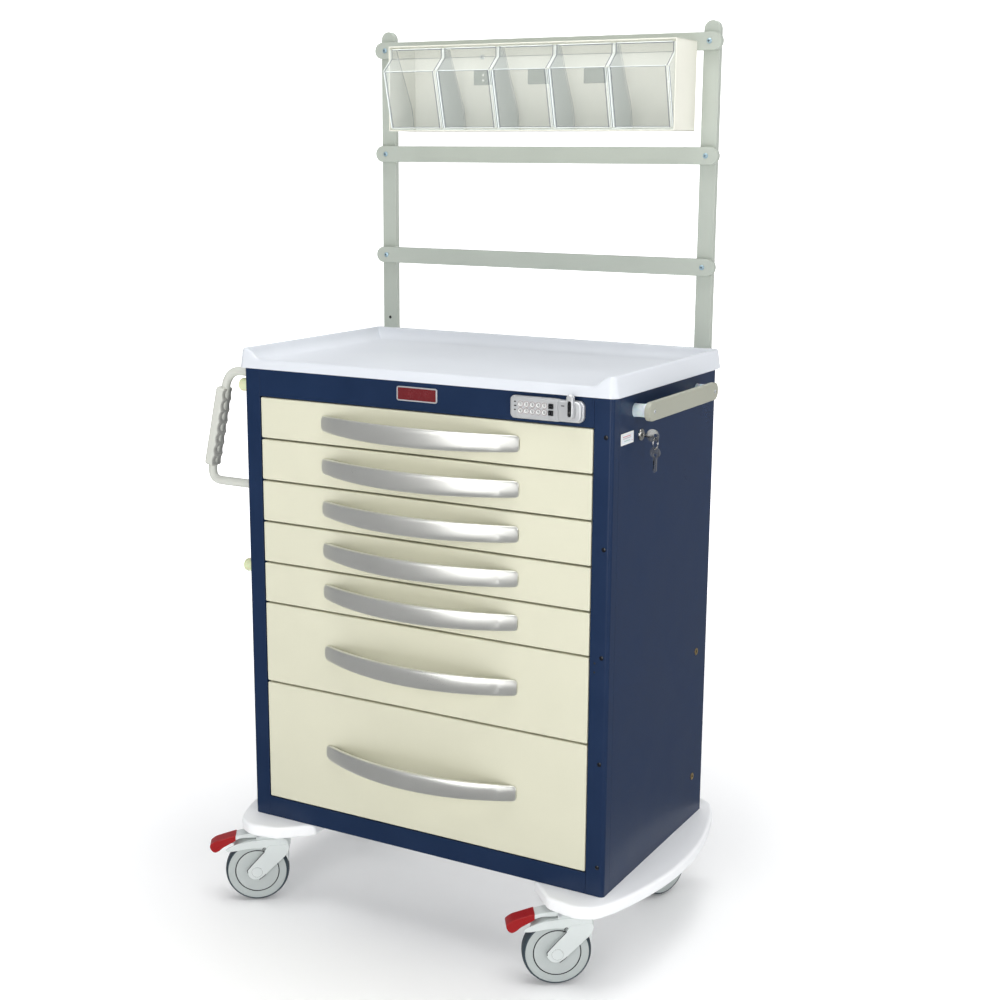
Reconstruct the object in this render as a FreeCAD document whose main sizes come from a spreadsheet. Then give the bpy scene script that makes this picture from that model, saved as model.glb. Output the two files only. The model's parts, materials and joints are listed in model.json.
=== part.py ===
"""Medication cart: drawer cabinet on casters with a worktop tray, an overbridge and tilt-out bins.

The frame is +Z up with the floor at Z 0. The front faces -Y, and the origin is under the middle of the
whole cart's bounding box. All lengths are millimetres.
"""
import FreeCAD, Part
import math
import os

import Sketcher

SIZES = {
    # cabinet
    "cart_shift": 22.355,
    "cart_back_shift": 10.7345,
    "cabinet_width": 759.0,
    "cabinet_depth": 455.0,
    "cabinet_height": 886.0,
    "cabinet_floor": 174.0,
    "sheet_steel": 1.5,
    "stile_width": 35.0,
    "top_rail": 52.0,
    "frame_depth": 25.0,
    "frame_round": 7.0,
    # drawers
    "drawer_pitch": 79.375,
    "front_gap": 3.2,
    "front_side_gap": 1.6,
    "front_thick": 18.0,
    "front_round": 2.5,
    "drawer_length": 392.0,
    "slide_room": 14.0,
    "slide_height": 36.0,
    "slide_length": 400.0,
    "runner_thick": 4.0,
    "runner_height": 24.0,
    # drawer handles
    "handle_span": 410.0,
    "handle_height": 35.0,
    "handle_end": 29.0,
    "handle_bow": 52.0,
    "handle_thick": 9.0,
    # worktop tray
    "tray_width": 776.0,
    "tray_front": 236.0,
    "tray_back": 240.0,
    "tray_corner": 14.0,
    "tray_height": 36.0,
    "tray_floor": 12.0,
    "tray_lip": 18.0,
    "tray_rim": 7.0,
    "tray_back_rim": 18.0,
    "tray_taper": 8.0,
    # base and casters
    "base_thick": 24.0,
    "base_round": 9.0,
    "base_corner": 12.0,
    "caster_across": 332.5,
    "caster_along": 217.0,
    "caster_trail": 43.5,
    "wheel_radius": 62.5,
    "wheel_width": 32.0,
    "hub_radius": 54.0,
    "hub_width": 27.0,
    "axle_radius": 5.0,
    "running_gap": 0.05,
    "fork_width": 46.0,
    "fork_slot": 34.4,
    "fender_gap": 2.2,
    "head_radius": 22.5,
    "head_gap": 0.4,
    "pedal_width": 30.0,
    "pedal_pin": 2.5,
    # overbridge
    "bar_width": 31.75,
    "bar_thick": 12.7,
    "upright_across": 349.0,
    "upright_top": 631.0,
    "upright_foot": 230.0,
    "rail_pitch": 203.2,
    "rail_high": 593.6,
    "rail_span": 713.5,
    # tilt bins
    "housing_width": 604.0,
    "housing_offset": 24.0,
    "housing_height": 160.0,
    "housing_depth": 96.0,
    "housing_low": 434.0,
    "housing_wall": 2.0,
    "bin_gap": 1.0,
    "bin_wall": 1.8,
    # side fittings
    "rail_standoff": 26.0,
    "standoff_radius": 12.0,
    "side_rail_thick": 10.0,
    "side_rail_length": 313.0,
    "push_along": 203.0,
    "push_tube": 8.4,
    "push_reach": 103.0,
    "grip_across": 21.0,
    "grip_along": 31.0,
    "grip_length": 150.0,
    "bumper_radius": 13.5,
    "bumper_length": 26.0,
    # keypad lock
    "pad_thick": 9.0,
    "pad_end_thick": 14.0,
    "button_radius": 4.4,
    "button_pitch": 11.3,
    "button_length": 4.0,
    "knob_thick": 8.0,
    "knob_stem": 3.0,
    # side lock
    "plug_radius": 6.5,
    "key_reach": 24.0,
    "key_ring_radius": 10.5,
    "key_ring_wire": 0.9,
}
MODULES = [1, 1, 1, 1, 1, 2, 3]
X, Y, Z = FreeCAD.Vector(1, 0, 0), FreeCAD.Vector(0, 1, 0), FreeCAD.Vector(0, 0, 1)

DOC = FreeCAD.newDocument("medication_cart")
SHEET = DOC.addObject("Spreadsheet::Sheet", "Sizes")
NODES = []


class Size:
    """A length that holds its number and the sheet formula that gives it."""

    def __init__(self, number, formula):
        self.number = number
        self.formula = formula

    def __add__(self, other):
        other = as_size(other)
        return Size(self.number + other.number, f"({self.formula} + {other.formula})")

    def __sub__(self, other):
        other = as_size(other)
        return Size(self.number - other.number, f"({self.formula} - {other.formula})")

    def __mul__(self, factor):
        return Size(self.number * factor, f"{self.formula} * {factor}")

    def __truediv__(self, divisor):
        return Size(self.number / divisor, f"{self.formula} / {divisor}")

    def __neg__(self):
        return self * -1

    def __radd__(self, other):
        return as_size(other) + self

    def __rsub__(self, other):
        return as_size(other) - self

    def __rmul__(self, factor):
        return self * factor


def as_size(value):
    """Wrap a plain number as a Size."""
    if isinstance(value, Size):
        return value
    return Size(float(value), f"({float(value)!r})")


def fill_sheet():
    """Write the driving dimensions to the spreadsheet and give each one its alias."""
    for row, (alias, number) in enumerate(SIZES.items(), start=1):
        SHEET.set(f"A{row}", alias)
        SHEET.set(f"B{row}", str(number))
        SHEET.setAlias(f"B{row}", alias)
    DOC.recompute()


def size(alias):
    """One driving dimension."""
    return Size(SIZES[alias], f"Sizes.{alias}")


HALF_WIDTH = size("cabinet_width") / 2
HALF_DEPTH = size("cabinet_depth") / 2
TOP = size("cabinet_floor") + size("cabinet_height")
STEEL = size("sheet_steel")


def bind(thing, **sizes):
    """Bind properties to the sheet; a double underscore stands for a dot in the property's path."""
    for path, length in sizes.items():
        thing.setExpression(path.replace("__", "."), as_size(length).formula)


def put(thing, place, axis=Z, angle=0.0):
    """Turn an object about an axis and bind the place of its own origin."""
    thing.Placement = FreeCAD.Placement(FreeCAD.Vector(), FreeCAD.Rotation(axis, angle))
    bind(thing, Placement__Base__x=place[0], Placement__Base__y=place[1], Placement__Base__z=place[2])
    return thing


def node(label, *pieces, place=(0, 0, 0), axis=Z, angle=0.0):
    """Register one sub-part: a single body as it is, or several solids as a compound."""
    part = pieces[0]
    if len(pieces) > 1 or part.TypeId != "PartDesign::Body":
        part = DOC.addObject("Part::Compound", f"{label}_group")
        part.Links = list(pieces)
    part.Label = label
    put(part, (place[0] + size("cart_shift"), place[1] + size("cart_back_shift"), place[2]), axis, angle)
    NODES.append(part)
    return part


# ---- primitives ----

def box(name, low, high):
    """A plain block between its lowest and its highest corner."""
    block = DOC.addObject("Part::Box", name)
    bind(block, Length=high[0] - low[0], Width=high[1] - low[1], Height=high[2] - low[2])
    return put(block, low)


def mirrored_boxes(name, inner, outer, low, high):
    """Two blocks, left and right of the cabinet's middle plane, between inner and outer in X."""
    return [box(f"{name}_left", (-outer, low[0], low[1]), (-inner, high[0], high[1])),
            box(f"{name}_right", (inner, low[0], low[1]), (outer, high[0], high[1]))]


def rod(name, base, axis, radius, length):
    """A cylinder that starts at base and runs along axis."""
    cylinder = DOC.addObject("Part::Cylinder", name)
    bind(cylinder, Radius=radius, Height=length)
    cylinder.Placement = FreeCAD.Placement(FreeCAD.Vector(), FreeCAD.Rotation(Z, axis))
    bind(cylinder, Placement__Base__x=base[0], Placement__Base__y=base[1], Placement__Base__z=base[2])
    return cylinder


def cut(name, base, *tools):
    """The base less each tool."""
    for index, tool in enumerate(tools):
        difference = DOC.addObject("Part::Cut", f"{name}_cut_{index}")
        difference.Base = base
        difference.Tool = tool
        base = difference
    return base


def fuse(name, *pieces):
    """Several solids made into one."""
    union = DOC.addObject("Part::MultiFuse", name)
    union.Shapes = list(pieces)
    union.Refine = True
    return union


# ---- sketches and features ----

def new_body(name):
    return DOC.addObject("PartDesign::Body", name)


def new_sketch(body, role, lift=0):
    """A sketch on one of the body's origin planes, lifted along the plane's normal."""
    sketch = body.newObject("Sketcher::SketchObject", f"{body.Name}_sketch")
    plane = next(feature for feature in body.Origin.OriginFeatures if feature.Role == role)
    sketch.AttachmentSupport = [(plane, "")]
    sketch.MapMode = "FlatFace"
    bind(sketch, AttachmentOffset__Base__z=lift)
    return sketch


def flat(point):
    """A sketch point as a vector of its present numbers."""
    return FreeCAD.Vector(as_size(point[0]).number, as_size(point[1]).number, 0)


def pin_vertex(sketch, curve, vertex, point):
    """Constrain a sketch vertex to its place, bound to the sheet."""
    for kind, axis_line, length in (("DistanceX", -2, point[0]), ("DistanceY", -1, point[1])):
        length = as_size(length)
        if abs(length.number) < 1e-9:
            sketch.addConstraint(Sketcher.Constraint("PointOnObject", curve, vertex, axis_line))
            continue
        index = sketch.addConstraint(Sketcher.Constraint(kind, -1, 1, curve, vertex, length.number))
        sketch.setExpression(f"Constraints[{index}]", length.formula)


def arc_through(start, middle, end):
    """An arc that always turns anticlockwise, as the sketch solver counts its ends."""
    if (middle - start).cross(end - middle).z < 0:
        start, end = end, start
    return Part.Arc(start, middle, end)


def end_of(step):
    """Where a step of an outline ends."""
    return step[1] if isinstance(step[0], tuple) else step


def draw(sketch, start, *steps, closed=True):
    """Draw an outline: each step is a point, or a (middle, end) pair that makes an arc."""
    here = start
    steps = list(steps)
    if closed and flat(end_of(steps[-1])).distanceToPoint(flat(start)) > 1e-6:
        steps.append(start)
    curves = []
    for step in steps:
        is_arc = isinstance(step[0], tuple)
        end = end_of(step)
        if is_arc:
            curve = arc_through(flat(here), flat(step[0]), flat(end))
        else:
            curve = Part.LineSegment(flat(here), flat(end))
        curves.append((sketch.addGeometry(curve, False), here))
        here = end
    for index, (curve, begin) in enumerate(curves):
        first = sketch.Geometry[curve].StartPoint.distanceToPoint(flat(begin)) < 1e-6
        pin_vertex(sketch, curve, 1 if first else 2, begin)
        if index > 0 or closed:
            last_curve = curves[index - 1][0]
            matches = sketch.Geometry[last_curve].EndPoint.distanceToPoint(flat(begin)) < 1e-6
            sketch.addConstraint(Sketcher.Constraint("Coincident", last_curve, 2 if matches else 1,
                                                     curve, 1 if first else 2))
    return sketch


def ring(sketch, centre, radius):
    """Draw a circle whose centre and radius are bound to the sheet."""
    curve = sketch.addGeometry(Part.Circle(flat(centre), Z, as_size(radius).number), False)
    pin_vertex(sketch, curve, 3, centre)
    index = sketch.addConstraint(Sketcher.Constraint("Radius", curve, as_size(radius).number))
    sketch.setExpression(f"Constraints[{index}]", as_size(radius).formula)
    return sketch


def pad(body, sketch, length, side="One side", backwards=False, taper=None):
    """Grow a sketch into a solid."""
    feature = body.newObject("PartDesign::Pad", f"{body.Name}_pad")
    feature.Profile = sketch
    feature.SideType = side
    feature.Reversed = backwards
    bind(feature, Length=length)
    if taper is not None:
        bind(feature, TaperAngle=taper)
    return feature


def pocket(body, sketch, length, side="One side", backwards=False, taper=None):
    """Cut a sketch out of the body, and make sure that it removes material."""
    DOC.recompute()
    before = body.Shape.Volume
    feature = body.newObject("PartDesign::Pocket", f"{body.Name}_pocket")
    feature.Profile = sketch
    feature.SideType = side
    feature.Reversed = backwards
    bind(feature, Length=length)
    if taper is not None:
        bind(feature, TaperAngle=taper)
    DOC.recompute()
    assert body.Shape.Volume < before - 1e-3, f"{feature.Label} cuts nothing"
    return feature


def round_edges(body, radius, chosen):
    """Round the edges of the body for which chosen(edge) is true."""
    DOC.recompute()
    tip = body.Tip
    names = [f"Edge{number}" for number, edge in enumerate(tip.Shape.Edges, start=1) if chosen(edge)]
    assert names, f"{body.Name} has no such edge"
    feature = body.newObject("PartDesign::Fillet", f"{body.Name}_fillet")
    feature.Base = (tip, names)
    bind(feature, Radius=radius)
    return feature


def middle_of(edge):
    """The middle point of an edge."""
    return edge.valueAt((edge.FirstParameter + edge.LastParameter) / 2)


def rectangle(sketch, low, high):
    """Draw a rectangle between two corners."""
    return draw(sketch, low, (high[0], low[1]), high, (low[0], high[1]))


# ---- cabinet ----

def cabinet_shell():
    """Sheet steel sides, back, top, bottom and the inner plates that carry the drawer slides."""
    behind_frame = -HALF_DEPTH + size("frame_depth")
    floor = size("cabinet_floor")
    sides = mirrored_boxes("side_plate", HALF_WIDTH - STEEL, HALF_WIDTH, (behind_frame, floor),
                           (HALF_DEPTH, TOP))
    drill = HALF_WIDTH - DRILL_DEPTH / 2
    lock_hole = rod("lock_hole", (drill, LOCK_Y, LOCK_Z), X, LOCK_BODY_RADIUS + 0.1, DRILL_DEPTH)
    insert_holes = [rod(f"insert_hole_{drop}", (drill, INSERT_Y, TOP - drop), X, INSERT_RADIUS, DRILL_DEPTH)
                    for drop in INSERT_DROPS]
    sides[1] = cut("right_side_plate", sides[1], lock_hole, *insert_holes)
    inside = HALF_WIDTH - STEEL
    back = box("back_plate", (-inside, HALF_DEPTH - STEEL, floor), (inside, HALF_DEPTH, TOP))
    plates = [box(f"{name}_plate", (-inside, behind_frame, low), (inside, HALF_DEPTH - STEEL, low + STEEL))
              for name, low in (("top", TOP - STEEL), ("bottom", floor))]
    liners = mirrored_boxes("liner", OPENING, OPENING + STEEL, (behind_frame, floor + STEEL),
                            (HALF_DEPTH - STEEL - LINER_GAP, TOP - STEEL))
    return node("cabinet_shell", *sides, back, *plates, *liners)


OPENING = HALF_WIDTH - size("stile_width")
DRILL_DEPTH = 10
LINER_GAP = 2
LOCK_Y = -116
LOCK_Z = TOP - 76
LOCK_BODY_RADIUS = 9.0
INSERT_Y = 176
INSERT_DROPS = (544, 800)
INSERT_RADIUS = 5.5
INSERT_BORE = 3.0


def stile(side):
    """One stile of the front frame, rounded along its outer front edge."""
    body = new_body(f"stile_{'right' if side > 0 else 'left'}")
    outline = new_sketch(body, "XY_Plane", size("cabinet_floor"))
    inner, outer = OPENING * side, HALF_WIDTH * side
    rectangle(outline, (inner, -HALF_DEPTH), (outer, -HALF_DEPTH + size("frame_depth")))
    pad(body, outline, size("cabinet_height"))
    corner = FreeCAD.Vector(outer.number, -HALF_DEPTH.number, 0)
    round_edges(body, size("frame_round"),
                lambda edge: (middle_of(edge) - corner).cross(Z).Length < 0.1)
    hollow = new_sketch(body, "XY_Plane", size("cabinet_floor") + STEEL)
    bend, back = size("frame_round"), -HALF_DEPTH + size("frame_depth") + 1
    bite = STEEL + (bend - STEEL) * (1 - math.sqrt(0.5))
    draw(hollow, (inner + STEEL * side, -HALF_DEPTH + STEEL), (outer - bend * side, -HALF_DEPTH + STEEL),
         ((outer - bite * side, -HALF_DEPTH + bite), (outer - STEEL * side, -HALF_DEPTH + bend)),
         (outer - STEEL * side, back), (inner + STEEL * side, back))
    pocket(body, hollow, size("cabinet_height") - STEEL * 2, backwards=True)
    return body


def hollow_rail(name, low, high):
    """A folded rail of the front frame, open towards the back."""
    hollow = box(f"{name}_hollow", (low[0] + STEEL, low[1] + STEEL, low[2] + STEEL),
                 (high[0] - STEEL, high[1] + 1, high[2] - STEEL))
    return cut(name, box(f"{name}_block", low, high), hollow)


def front_frame():
    """The steel frame that surrounds the drawer fronts."""
    front, back = -HALF_DEPTH, -HALF_DEPTH + size("frame_depth")
    floor = size("cabinet_floor")
    drawers_top = TOP - size("top_rail")
    top_rail = hollow_rail("frame_top_rail", (-OPENING, front, drawers_top), (OPENING, back, TOP))
    bottom_rail = hollow_rail("frame_bottom_rail", (-OPENING, front, floor), (OPENING, back, DRAWERS_FLOOR))
    return node("front_frame", stile(-1), stile(1), top_rail, bottom_rail)


DRAWERS_FLOOR = TOP - size("top_rail") - size("drawer_pitch") * sum(MODULES)


# ---- drawers ----

BOX_HALF = OPENING - size("slide_room")
BOX_FOOT_GAP = 8
BOX_TOP_GAP = 14
DRAWER_SLIDE_LIFT = 40
CHANNEL_LIP = 2.5
RUNNER_SETBACK = 4


def drawer_levels():
    """The bottom and the height of each drawer's space, from the top drawer down."""
    used = 0
    for modules in MODULES:
        used += modules
        yield TOP - size("top_rail") - size("drawer_pitch") * used, size("drawer_pitch") * modules


def drawer_front(name, bottom, height):
    """The drawer's panel front, softly rounded round its face."""
    body = new_body(f"{name}_front")
    outline = new_sketch(body, "XZ_Plane", HALF_DEPTH - size("front_thick"))
    half, gap = OPENING - size("front_side_gap"), size("front_gap") / 2
    rectangle(outline, (-half, bottom + gap), (half, bottom + height - gap))
    pad(body, outline, size("front_thick"))
    round_edges(body, size("front_round"), lambda edge: middle_of(edge).y < -HALF_DEPTH.number + 0.1)
    hollow = new_sketch(body, "XZ_Plane", HALF_DEPTH - STEEL * 2)
    edge = gap + STEEL * 2
    rectangle(hollow, (-half + STEEL * 2, bottom + edge), (half - STEEL * 2, bottom + height - edge))
    pocket(body, hollow, size("front_thick"))
    return body


def drawer(number, bottom, height):
    """One drawer: panel front, folded steel box and the two slide runners."""
    name = f"drawer_{number}"
    front_back = -HALF_DEPTH + size("front_thick")
    end = front_back + size("drawer_length")
    low = bottom + BOX_FOOT_GAP
    high = bottom + height - BOX_TOP_GAP
    sides = mirrored_boxes(f"{name}_side", BOX_HALF - STEEL, BOX_HALF, (front_back, low), (end, high))
    inside = BOX_HALF - STEEL
    back = box(f"{name}_back", (-inside, end - STEEL, low), (inside, end, high))
    base = box(f"{name}_base", (-inside, front_back, low), (inside, end - STEEL, low + STEEL))
    runner_low = bottom + DRAWER_SLIDE_LIFT - size("runner_height") / 2
    runners = mirrored_boxes(f"{name}_runner", BOX_HALF, BOX_HALF + size("runner_thick"),
                             (front_back + RUNNER_SETBACK, runner_low),
                             (end, runner_low + size("runner_height")))
    node(f"{name}_body", drawer_front(name, bottom, height), *sides, back, base, *runners)


def slide_channels():
    """The fixed channels of the drawer slides, one pair behind each drawer."""
    pieces = []
    for number, (bottom, height) in enumerate(drawer_levels(), start=1):
        for side in (-1, 1):
            body = new_body(f"channel_{number}_{'right' if side > 0 else 'left'}")
            front = HALF_DEPTH - size("frame_depth") - 1
            outline = new_sketch(body, "XZ_Plane", front - size("slide_length"))
            wall, lip = OPENING * side, (BOX_HALF + CHANNEL_LIP) * side
            web = (OPENING - STEEL) * side
            low = bottom + DRAWER_SLIDE_LIFT - size("slide_height") / 2
            high = low + size("slide_height")
            draw(outline, (wall, low), (lip, low), (lip, low + STEEL), (web, low + STEEL),
                 (web, high - STEEL), (lip, high - STEEL), (lip, high), (wall, high))
            pad(body, outline, size("slide_length"))
            pieces.append(body)
    return node("drawer_slide_channels", *pieces)


HANDLE_TIP = 0.55
HANDLE_FOOT = 15
HANDLE_CORNER = 5


def drawer_handle(number, level):
    """A bowed pull: a strip that tapers a little to round-cornered ends, bent forward in the middle."""
    body = new_body(f"handle_{number}")
    half, end_half = size("handle_span") / 2, size("handle_end") / 2
    tall = size("handle_height") / 2
    straight, bite = half - HANDLE_CORNER, HANDLE_CORNER * (1 - math.sqrt(0.5))
    low_end, high_end = -end_half + HANDLE_CORNER, end_half - HANDLE_CORNER
    strip = new_sketch(body, "XZ_Plane")
    draw(strip, (-straight, -end_half), ((0, -tall), (straight, -end_half)),
         ((half - bite, -end_half + bite), (half, low_end)), (half, high_end),
         ((half - bite, end_half - bite), (straight, end_half)), ((0, tall), (-straight, end_half)),
         ((-half + bite, end_half - bite), (-half, high_end)), (-half, low_end),
         ((-half + bite, -end_half + bite), (-straight, -end_half)))
    pad(body, strip, size("handle_bow"))
    front = new_sketch(body, "XY_Plane", -tall - 1)
    bow, tip = -size("handle_bow"), -size("handle_thick") * HANDLE_TIP
    draw(front, (-half - 1, tip), ((0, bow), (half + 1, tip)), (half + 1, bow - 2), (-half - 1, bow - 2))
    pocket(body, front, size("handle_height") + 2, backwards=True)
    behind = new_sketch(body, "XY_Plane", -tall - 1)
    foot = half - HANDLE_FOOT
    draw(behind, (-foot, 1), (-foot, 0), ((0, bow + size("handle_thick")), (foot, 0)), (foot, 1))
    pocket(body, behind, size("handle_height") + 2, backwards=True)
    node(f"drawer_{number}_handle", body, place=(0, -HALF_DEPTH, level))


# ---- worktop and base ----

def round_rectangle(sketch, low, high, radius):
    """Draw a rectangle with round corners."""
    bite = radius * (1 - math.sqrt(0.5))
    (x0, y0), (x1, y1) = low, high
    draw(sketch, (x0 + radius, y0), (x1 - radius, y0), ((x1 - bite, y0 + bite), (x1, y0 + radius)),
         (x1, y1 - radius), ((x1 - bite, y1 - bite), (x1 - radius, y1)),
         (x0 + radius, y1), ((x0 + bite, y1 - bite), (x0, y1 - radius)),
         (x0, y0 + radius), ((x0 + bite, y0 + bite), (x0 + radius, y0)))
    return sketch


def worktop_tray():
    """The moulded tray: a high rim at the sides and the back, a low lip in front."""
    body = new_body("tray")
    half, front, back = size("tray_width") / 2, -size("tray_front"), size("tray_back")
    sketch = new_sketch(body, "XY_Plane")
    outline = round_rectangle(sketch, (-half, front), (half, back), size("tray_corner"))
    pad(body, outline, size("tray_height"), taper=-size("tray_taper"))
    rim = size("tray_rim") + 5
    inside = round_rectangle(new_sketch(body, "XY_Plane", size("tray_height")), (-half + rim, front + rim),
                             (half - rim, back - size("tray_back_rim")), size("tray_corner"))
    pocket(body, inside, size("tray_height") - size("tray_floor"), taper=-size("tray_taper") * 2)
    lip = new_sketch(body, "XZ_Plane", -front - 24)
    low, high = half - 46, half - 22
    draw(lip, (-low, size("tray_lip")), (low, size("tray_lip")), (high, size("tray_height") + 1),
         (-high, size("tray_height") + 1))
    pocket(body, lip, 26, backwards=True)
    notch = new_sketch(body, "XY_Plane", -1)
    for side in (-1, 1):
        left = size("upright_across") * side - size("bar_width") / 2 - 1
        right = size("upright_across") * side + size("bar_width") / 2 + 1
        rectangle(notch, (left, HALF_DEPTH), (right, back + 1))
    pocket(body, notch, size("tray_height") + 2, backwards=True)
    rim_height = SIZES["tray_height"] - 0.1
    round_edges(body, 1.5, lambda edge: middle_of(edge).z > rim_height and edge.Length > 100)
    node("worktop_tray", body, place=(0, 0, TOP))


def base_platform():
    """The moulded base: bowed sides, an ear over each caster and a recess in front and behind."""
    body = new_body("base")
    outline = new_sketch(body, "XY_Plane")
    recess, notch, ear_in, ear_front = (205, 180), (237, 222), (294, 274), (352, 284)
    corner, ear_side, waist = (386, 267), (404, 232), (446, 0)

    def quarter(x_sign, y_sign):
        """The outline's named points in one quarter."""
        return [(x * x_sign, y * y_sign) for x, y in (recess, notch, ear_in, ear_front, corner, ear_side)]

    front_right, back_right = quarter(1, -1), quarter(1, 1)
    back_left, front_left = quarter(-1, 1), quarter(-1, -1)
    draw(outline, front_left[0], *front_right[:4], (front_right[4], front_right[5]),
         (waist, back_right[5]), (back_right[4], back_right[3]), *back_right[2::-1], *back_left[:4],
         (back_left[4], back_left[5]), ((-waist[0], 0), front_left[5]), (front_left[4], front_left[3]),
         front_left[2], front_left[1])
    pad(body, outline, size("base_thick"))
    round_edges(body, size("base_corner"),
                lambda edge: edge.tangentAt(edge.FirstParameter).cross(Z).Length < 0.01)
    round_edges(body, size("base_round"), lambda edge: edge.BoundBox.ZLength < 0.01)
    node("base_platform", body, place=(0, 0, size("cabinet_floor") - size("base_thick")))


# ---- casters ----

CASTERS = {
    "front_left": (-1, -1, 214),
    "front_right": (1, -1, 214),
    "rear_left": (-1, 1, 235),
    "rear_right": (1, 1, 250),
}
WHEEL = size("wheel_radius")
TRAIL = size("caster_trail")
PEDAL_PIVOT = (40, 137)
PIN_HALF = 19
HEAD_FOOT = 110
FENDER_THICK = 2.5


def caster_frame(across, along, angle):
    """Where a caster's own frame stands: X trails from the swivel axis towards the wheel."""
    return {"place": (size("caster_across") * across, size("caster_along") * along, 0), "angle": angle}


def fork_blank(name):
    """The fork's arms and shoulder as one plate as wide as the whole fork."""
    body = new_body(f"{name}_fork")
    outline = new_sketch(body, "XZ_Plane")
    axle_x, axle_z = TRAIL, WHEEL
    draw(outline, (-20, 122), (22, 122), (22, 112.5), (axle_x + 20, axle_z + 4),
         ((axle_x + 14, axle_z - 12.5), (axle_x - 2, axle_z - 17)), (axle_x - 12.4, axle_z - 11.7),
         (-13, 98), (-20, 107))
    pad(body, outline, size("fork_width"), side="Symmetric")
    return body


def fender(name):
    """A thin curved guard over the wheel, ahead of the fork's head."""
    inner = WHEEL + size("fender_gap")
    outer = inner + FENDER_THICK
    body = new_body(f"{name}_fender")
    outline = new_sketch(body, "XZ_Plane")

    def at(radius, degrees):
        turn = math.radians(degrees)
        return (TRAIL + radius * math.cos(turn), WHEEL + radius * math.sin(turn))

    start, middle, end = 110, 78, 46
    draw(outline, at(inner, start), (at(inner, middle), at(inner, end)), at(outer, end),
         (at(outer, middle), at(outer, start)))
    pad(body, outline, size("wheel_width"), side="Symmetric")
    return body


def cheek(name, side):
    """A skirt on one side of the fork that hides the top of the tyre and runs out under the pedal."""
    inner, outer = size("fork_slot") / 2, size("fork_width") / 2
    body = new_body(f"{name}_cheek_{'right' if side > 0 else 'left'}")
    outline = new_sketch(body, "XZ_Plane", -outer if side > 0 else inner)
    draw(outline, (-18, 106), (30, 111), ((48, 112.5), (66, 110.5)), (92, 106.5), (104, 107.5), (104, 112),
         ((58, 128), (10, 131)), (-12, 131), (-18, 122))
    pad(body, outline, outer - inner)
    return body


def caster_fork(name, has_pedal):
    """Swivel head, two diagonal arms, fender, skirts, axle and, on a braked caster, the pedal's pin."""
    head_top = size("cabinet_floor") - size("base_thick") - size("head_gap")
    head = rod(f"{name}_head", (0, 0, HEAD_FOOT), Z, size("head_radius"), head_top - HEAD_FOOT)
    slot = rod(f"{name}_slot", (TRAIL, -size("fork_slot") / 2, WHEEL), Y, WHEEL + size("fender_gap"),
               size("fork_slot"))
    blank = fuse(f"{name}_blank", fork_blank(name), head, fender(name), cheek(name, -1), cheek(name, 1))
    frame = cut(f"{name}_frame", blank, slot)
    half = size("fork_width") / 2
    axle = rod(f"{name}_axle", (TRAIL, -half, WHEEL), Y, size("axle_radius"), size("fork_width"))
    solids = [fuse(f"{name}_fork_with_axle", frame, axle)]
    if has_pedal:
        ears = [box(f"{name}_ear_{side}", (12, middle - 1.5, 124), (44, middle + 1.5, 140))
                for side, middle in (("left", -17.5), ("right", 17.5))]
        pin = rod(f"{name}_pin", (PEDAL_PIVOT[0], -PIN_HALF, PEDAL_PIVOT[1]), Y, size("pedal_pin"),
                  PIN_HALF * 2)
        solids = [fuse(f"{name}_fork_with_pin", solids[0], *ears, pin)]
    return solids


def caster_wheel(name):
    """A hub that turns on the axle and the tyre round it, turned about the wheel's own axis."""
    solids = []
    bore = size("axle_radius") + size("running_gap")
    rim, rim_half = size("hub_radius"), size("hub_width") / 2
    half = size("wheel_width") / 2
    profiles = {
        "hub": [(bore, -half), (16, -half), (20, -rim_half + 2), (rim - 6, -rim_half), (rim, -rim_half),
                (rim, rim_half), (rim - 6, rim_half), (20, rim_half - 2), (16, half), (bore, half)],
        "tyre": [(rim, -rim_half), (rim + 3, -half + 1), ((WHEEL, 0), (rim + 3, half - 1)),
                 (rim, rim_half)],
    }
    for piece, points in profiles.items():
        body = new_body(f"{name}_{piece}")
        profile = draw(new_sketch(body, "XZ_Plane"), *points)
        turned = body.newObject("PartDesign::Revolution", f"{body.Name}_turned")
        turned.Profile = profile
        turned.ReferenceAxis = (profile, ["V_Axis"])
        turned.Angle = 360
        solids.append(body)
    return solids


def pedal(name):
    """The brake pedal: a plate from the pin over the wheel to a thick foot end."""
    body = new_body(f"{name}_pedal_body")
    outline = new_sketch(body, "XZ_Plane")
    draw(outline, (34, 133), (34, 139), ((36, 141), (40, 141)), (66, 141), (84, 138), (125, 127),
         ((133.4, 121.4), (135.5, 112)), ((131.5, 105.5), (124, 103)), (115.5, 107), (109, 113),
         (86, 127.5), (74, 132.2), (46, 132.2))
    pad(body, outline, size("pedal_width"), side="Symmetric")
    bore = ring(new_sketch(body, "XZ_Plane"), PEDAL_PIVOT, size("pedal_pin") + size("running_gap"))
    pocket(body, bore, size("pedal_width") + 2, side="Symmetric")
    return body


def casters():
    """Four swivel casters; the front two have a brake pedal."""
    for name, (side, end, angle) in CASTERS.items():
        frame = caster_frame(side, end, angle)
        braked = end < 0
        node(f"caster_{name}_fork", *caster_fork(name, braked), **frame)
        turn = math.radians(angle)
        across, along, _ = frame["place"]
        axle_place = (across + TRAIL * math.cos(turn), along + TRAIL * math.sin(turn), WHEEL)
        lay_down = FreeCAD.Rotation(Z, angle).multiply(FreeCAD.Rotation(X, -90))
        node(f"caster_{name}_wheel", *caster_wheel(name), place=axle_place, axis=lay_down.Axis,
             angle=math.degrees(lay_down.Angle))
        if braked:
            node(f"caster_{name}_pedal", pedal(name), **frame)


# ---- overbridge ----

RAIL_FRONT = HALF_DEPTH - size("bar_thick")
RAIL_ROWS = 3


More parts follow.
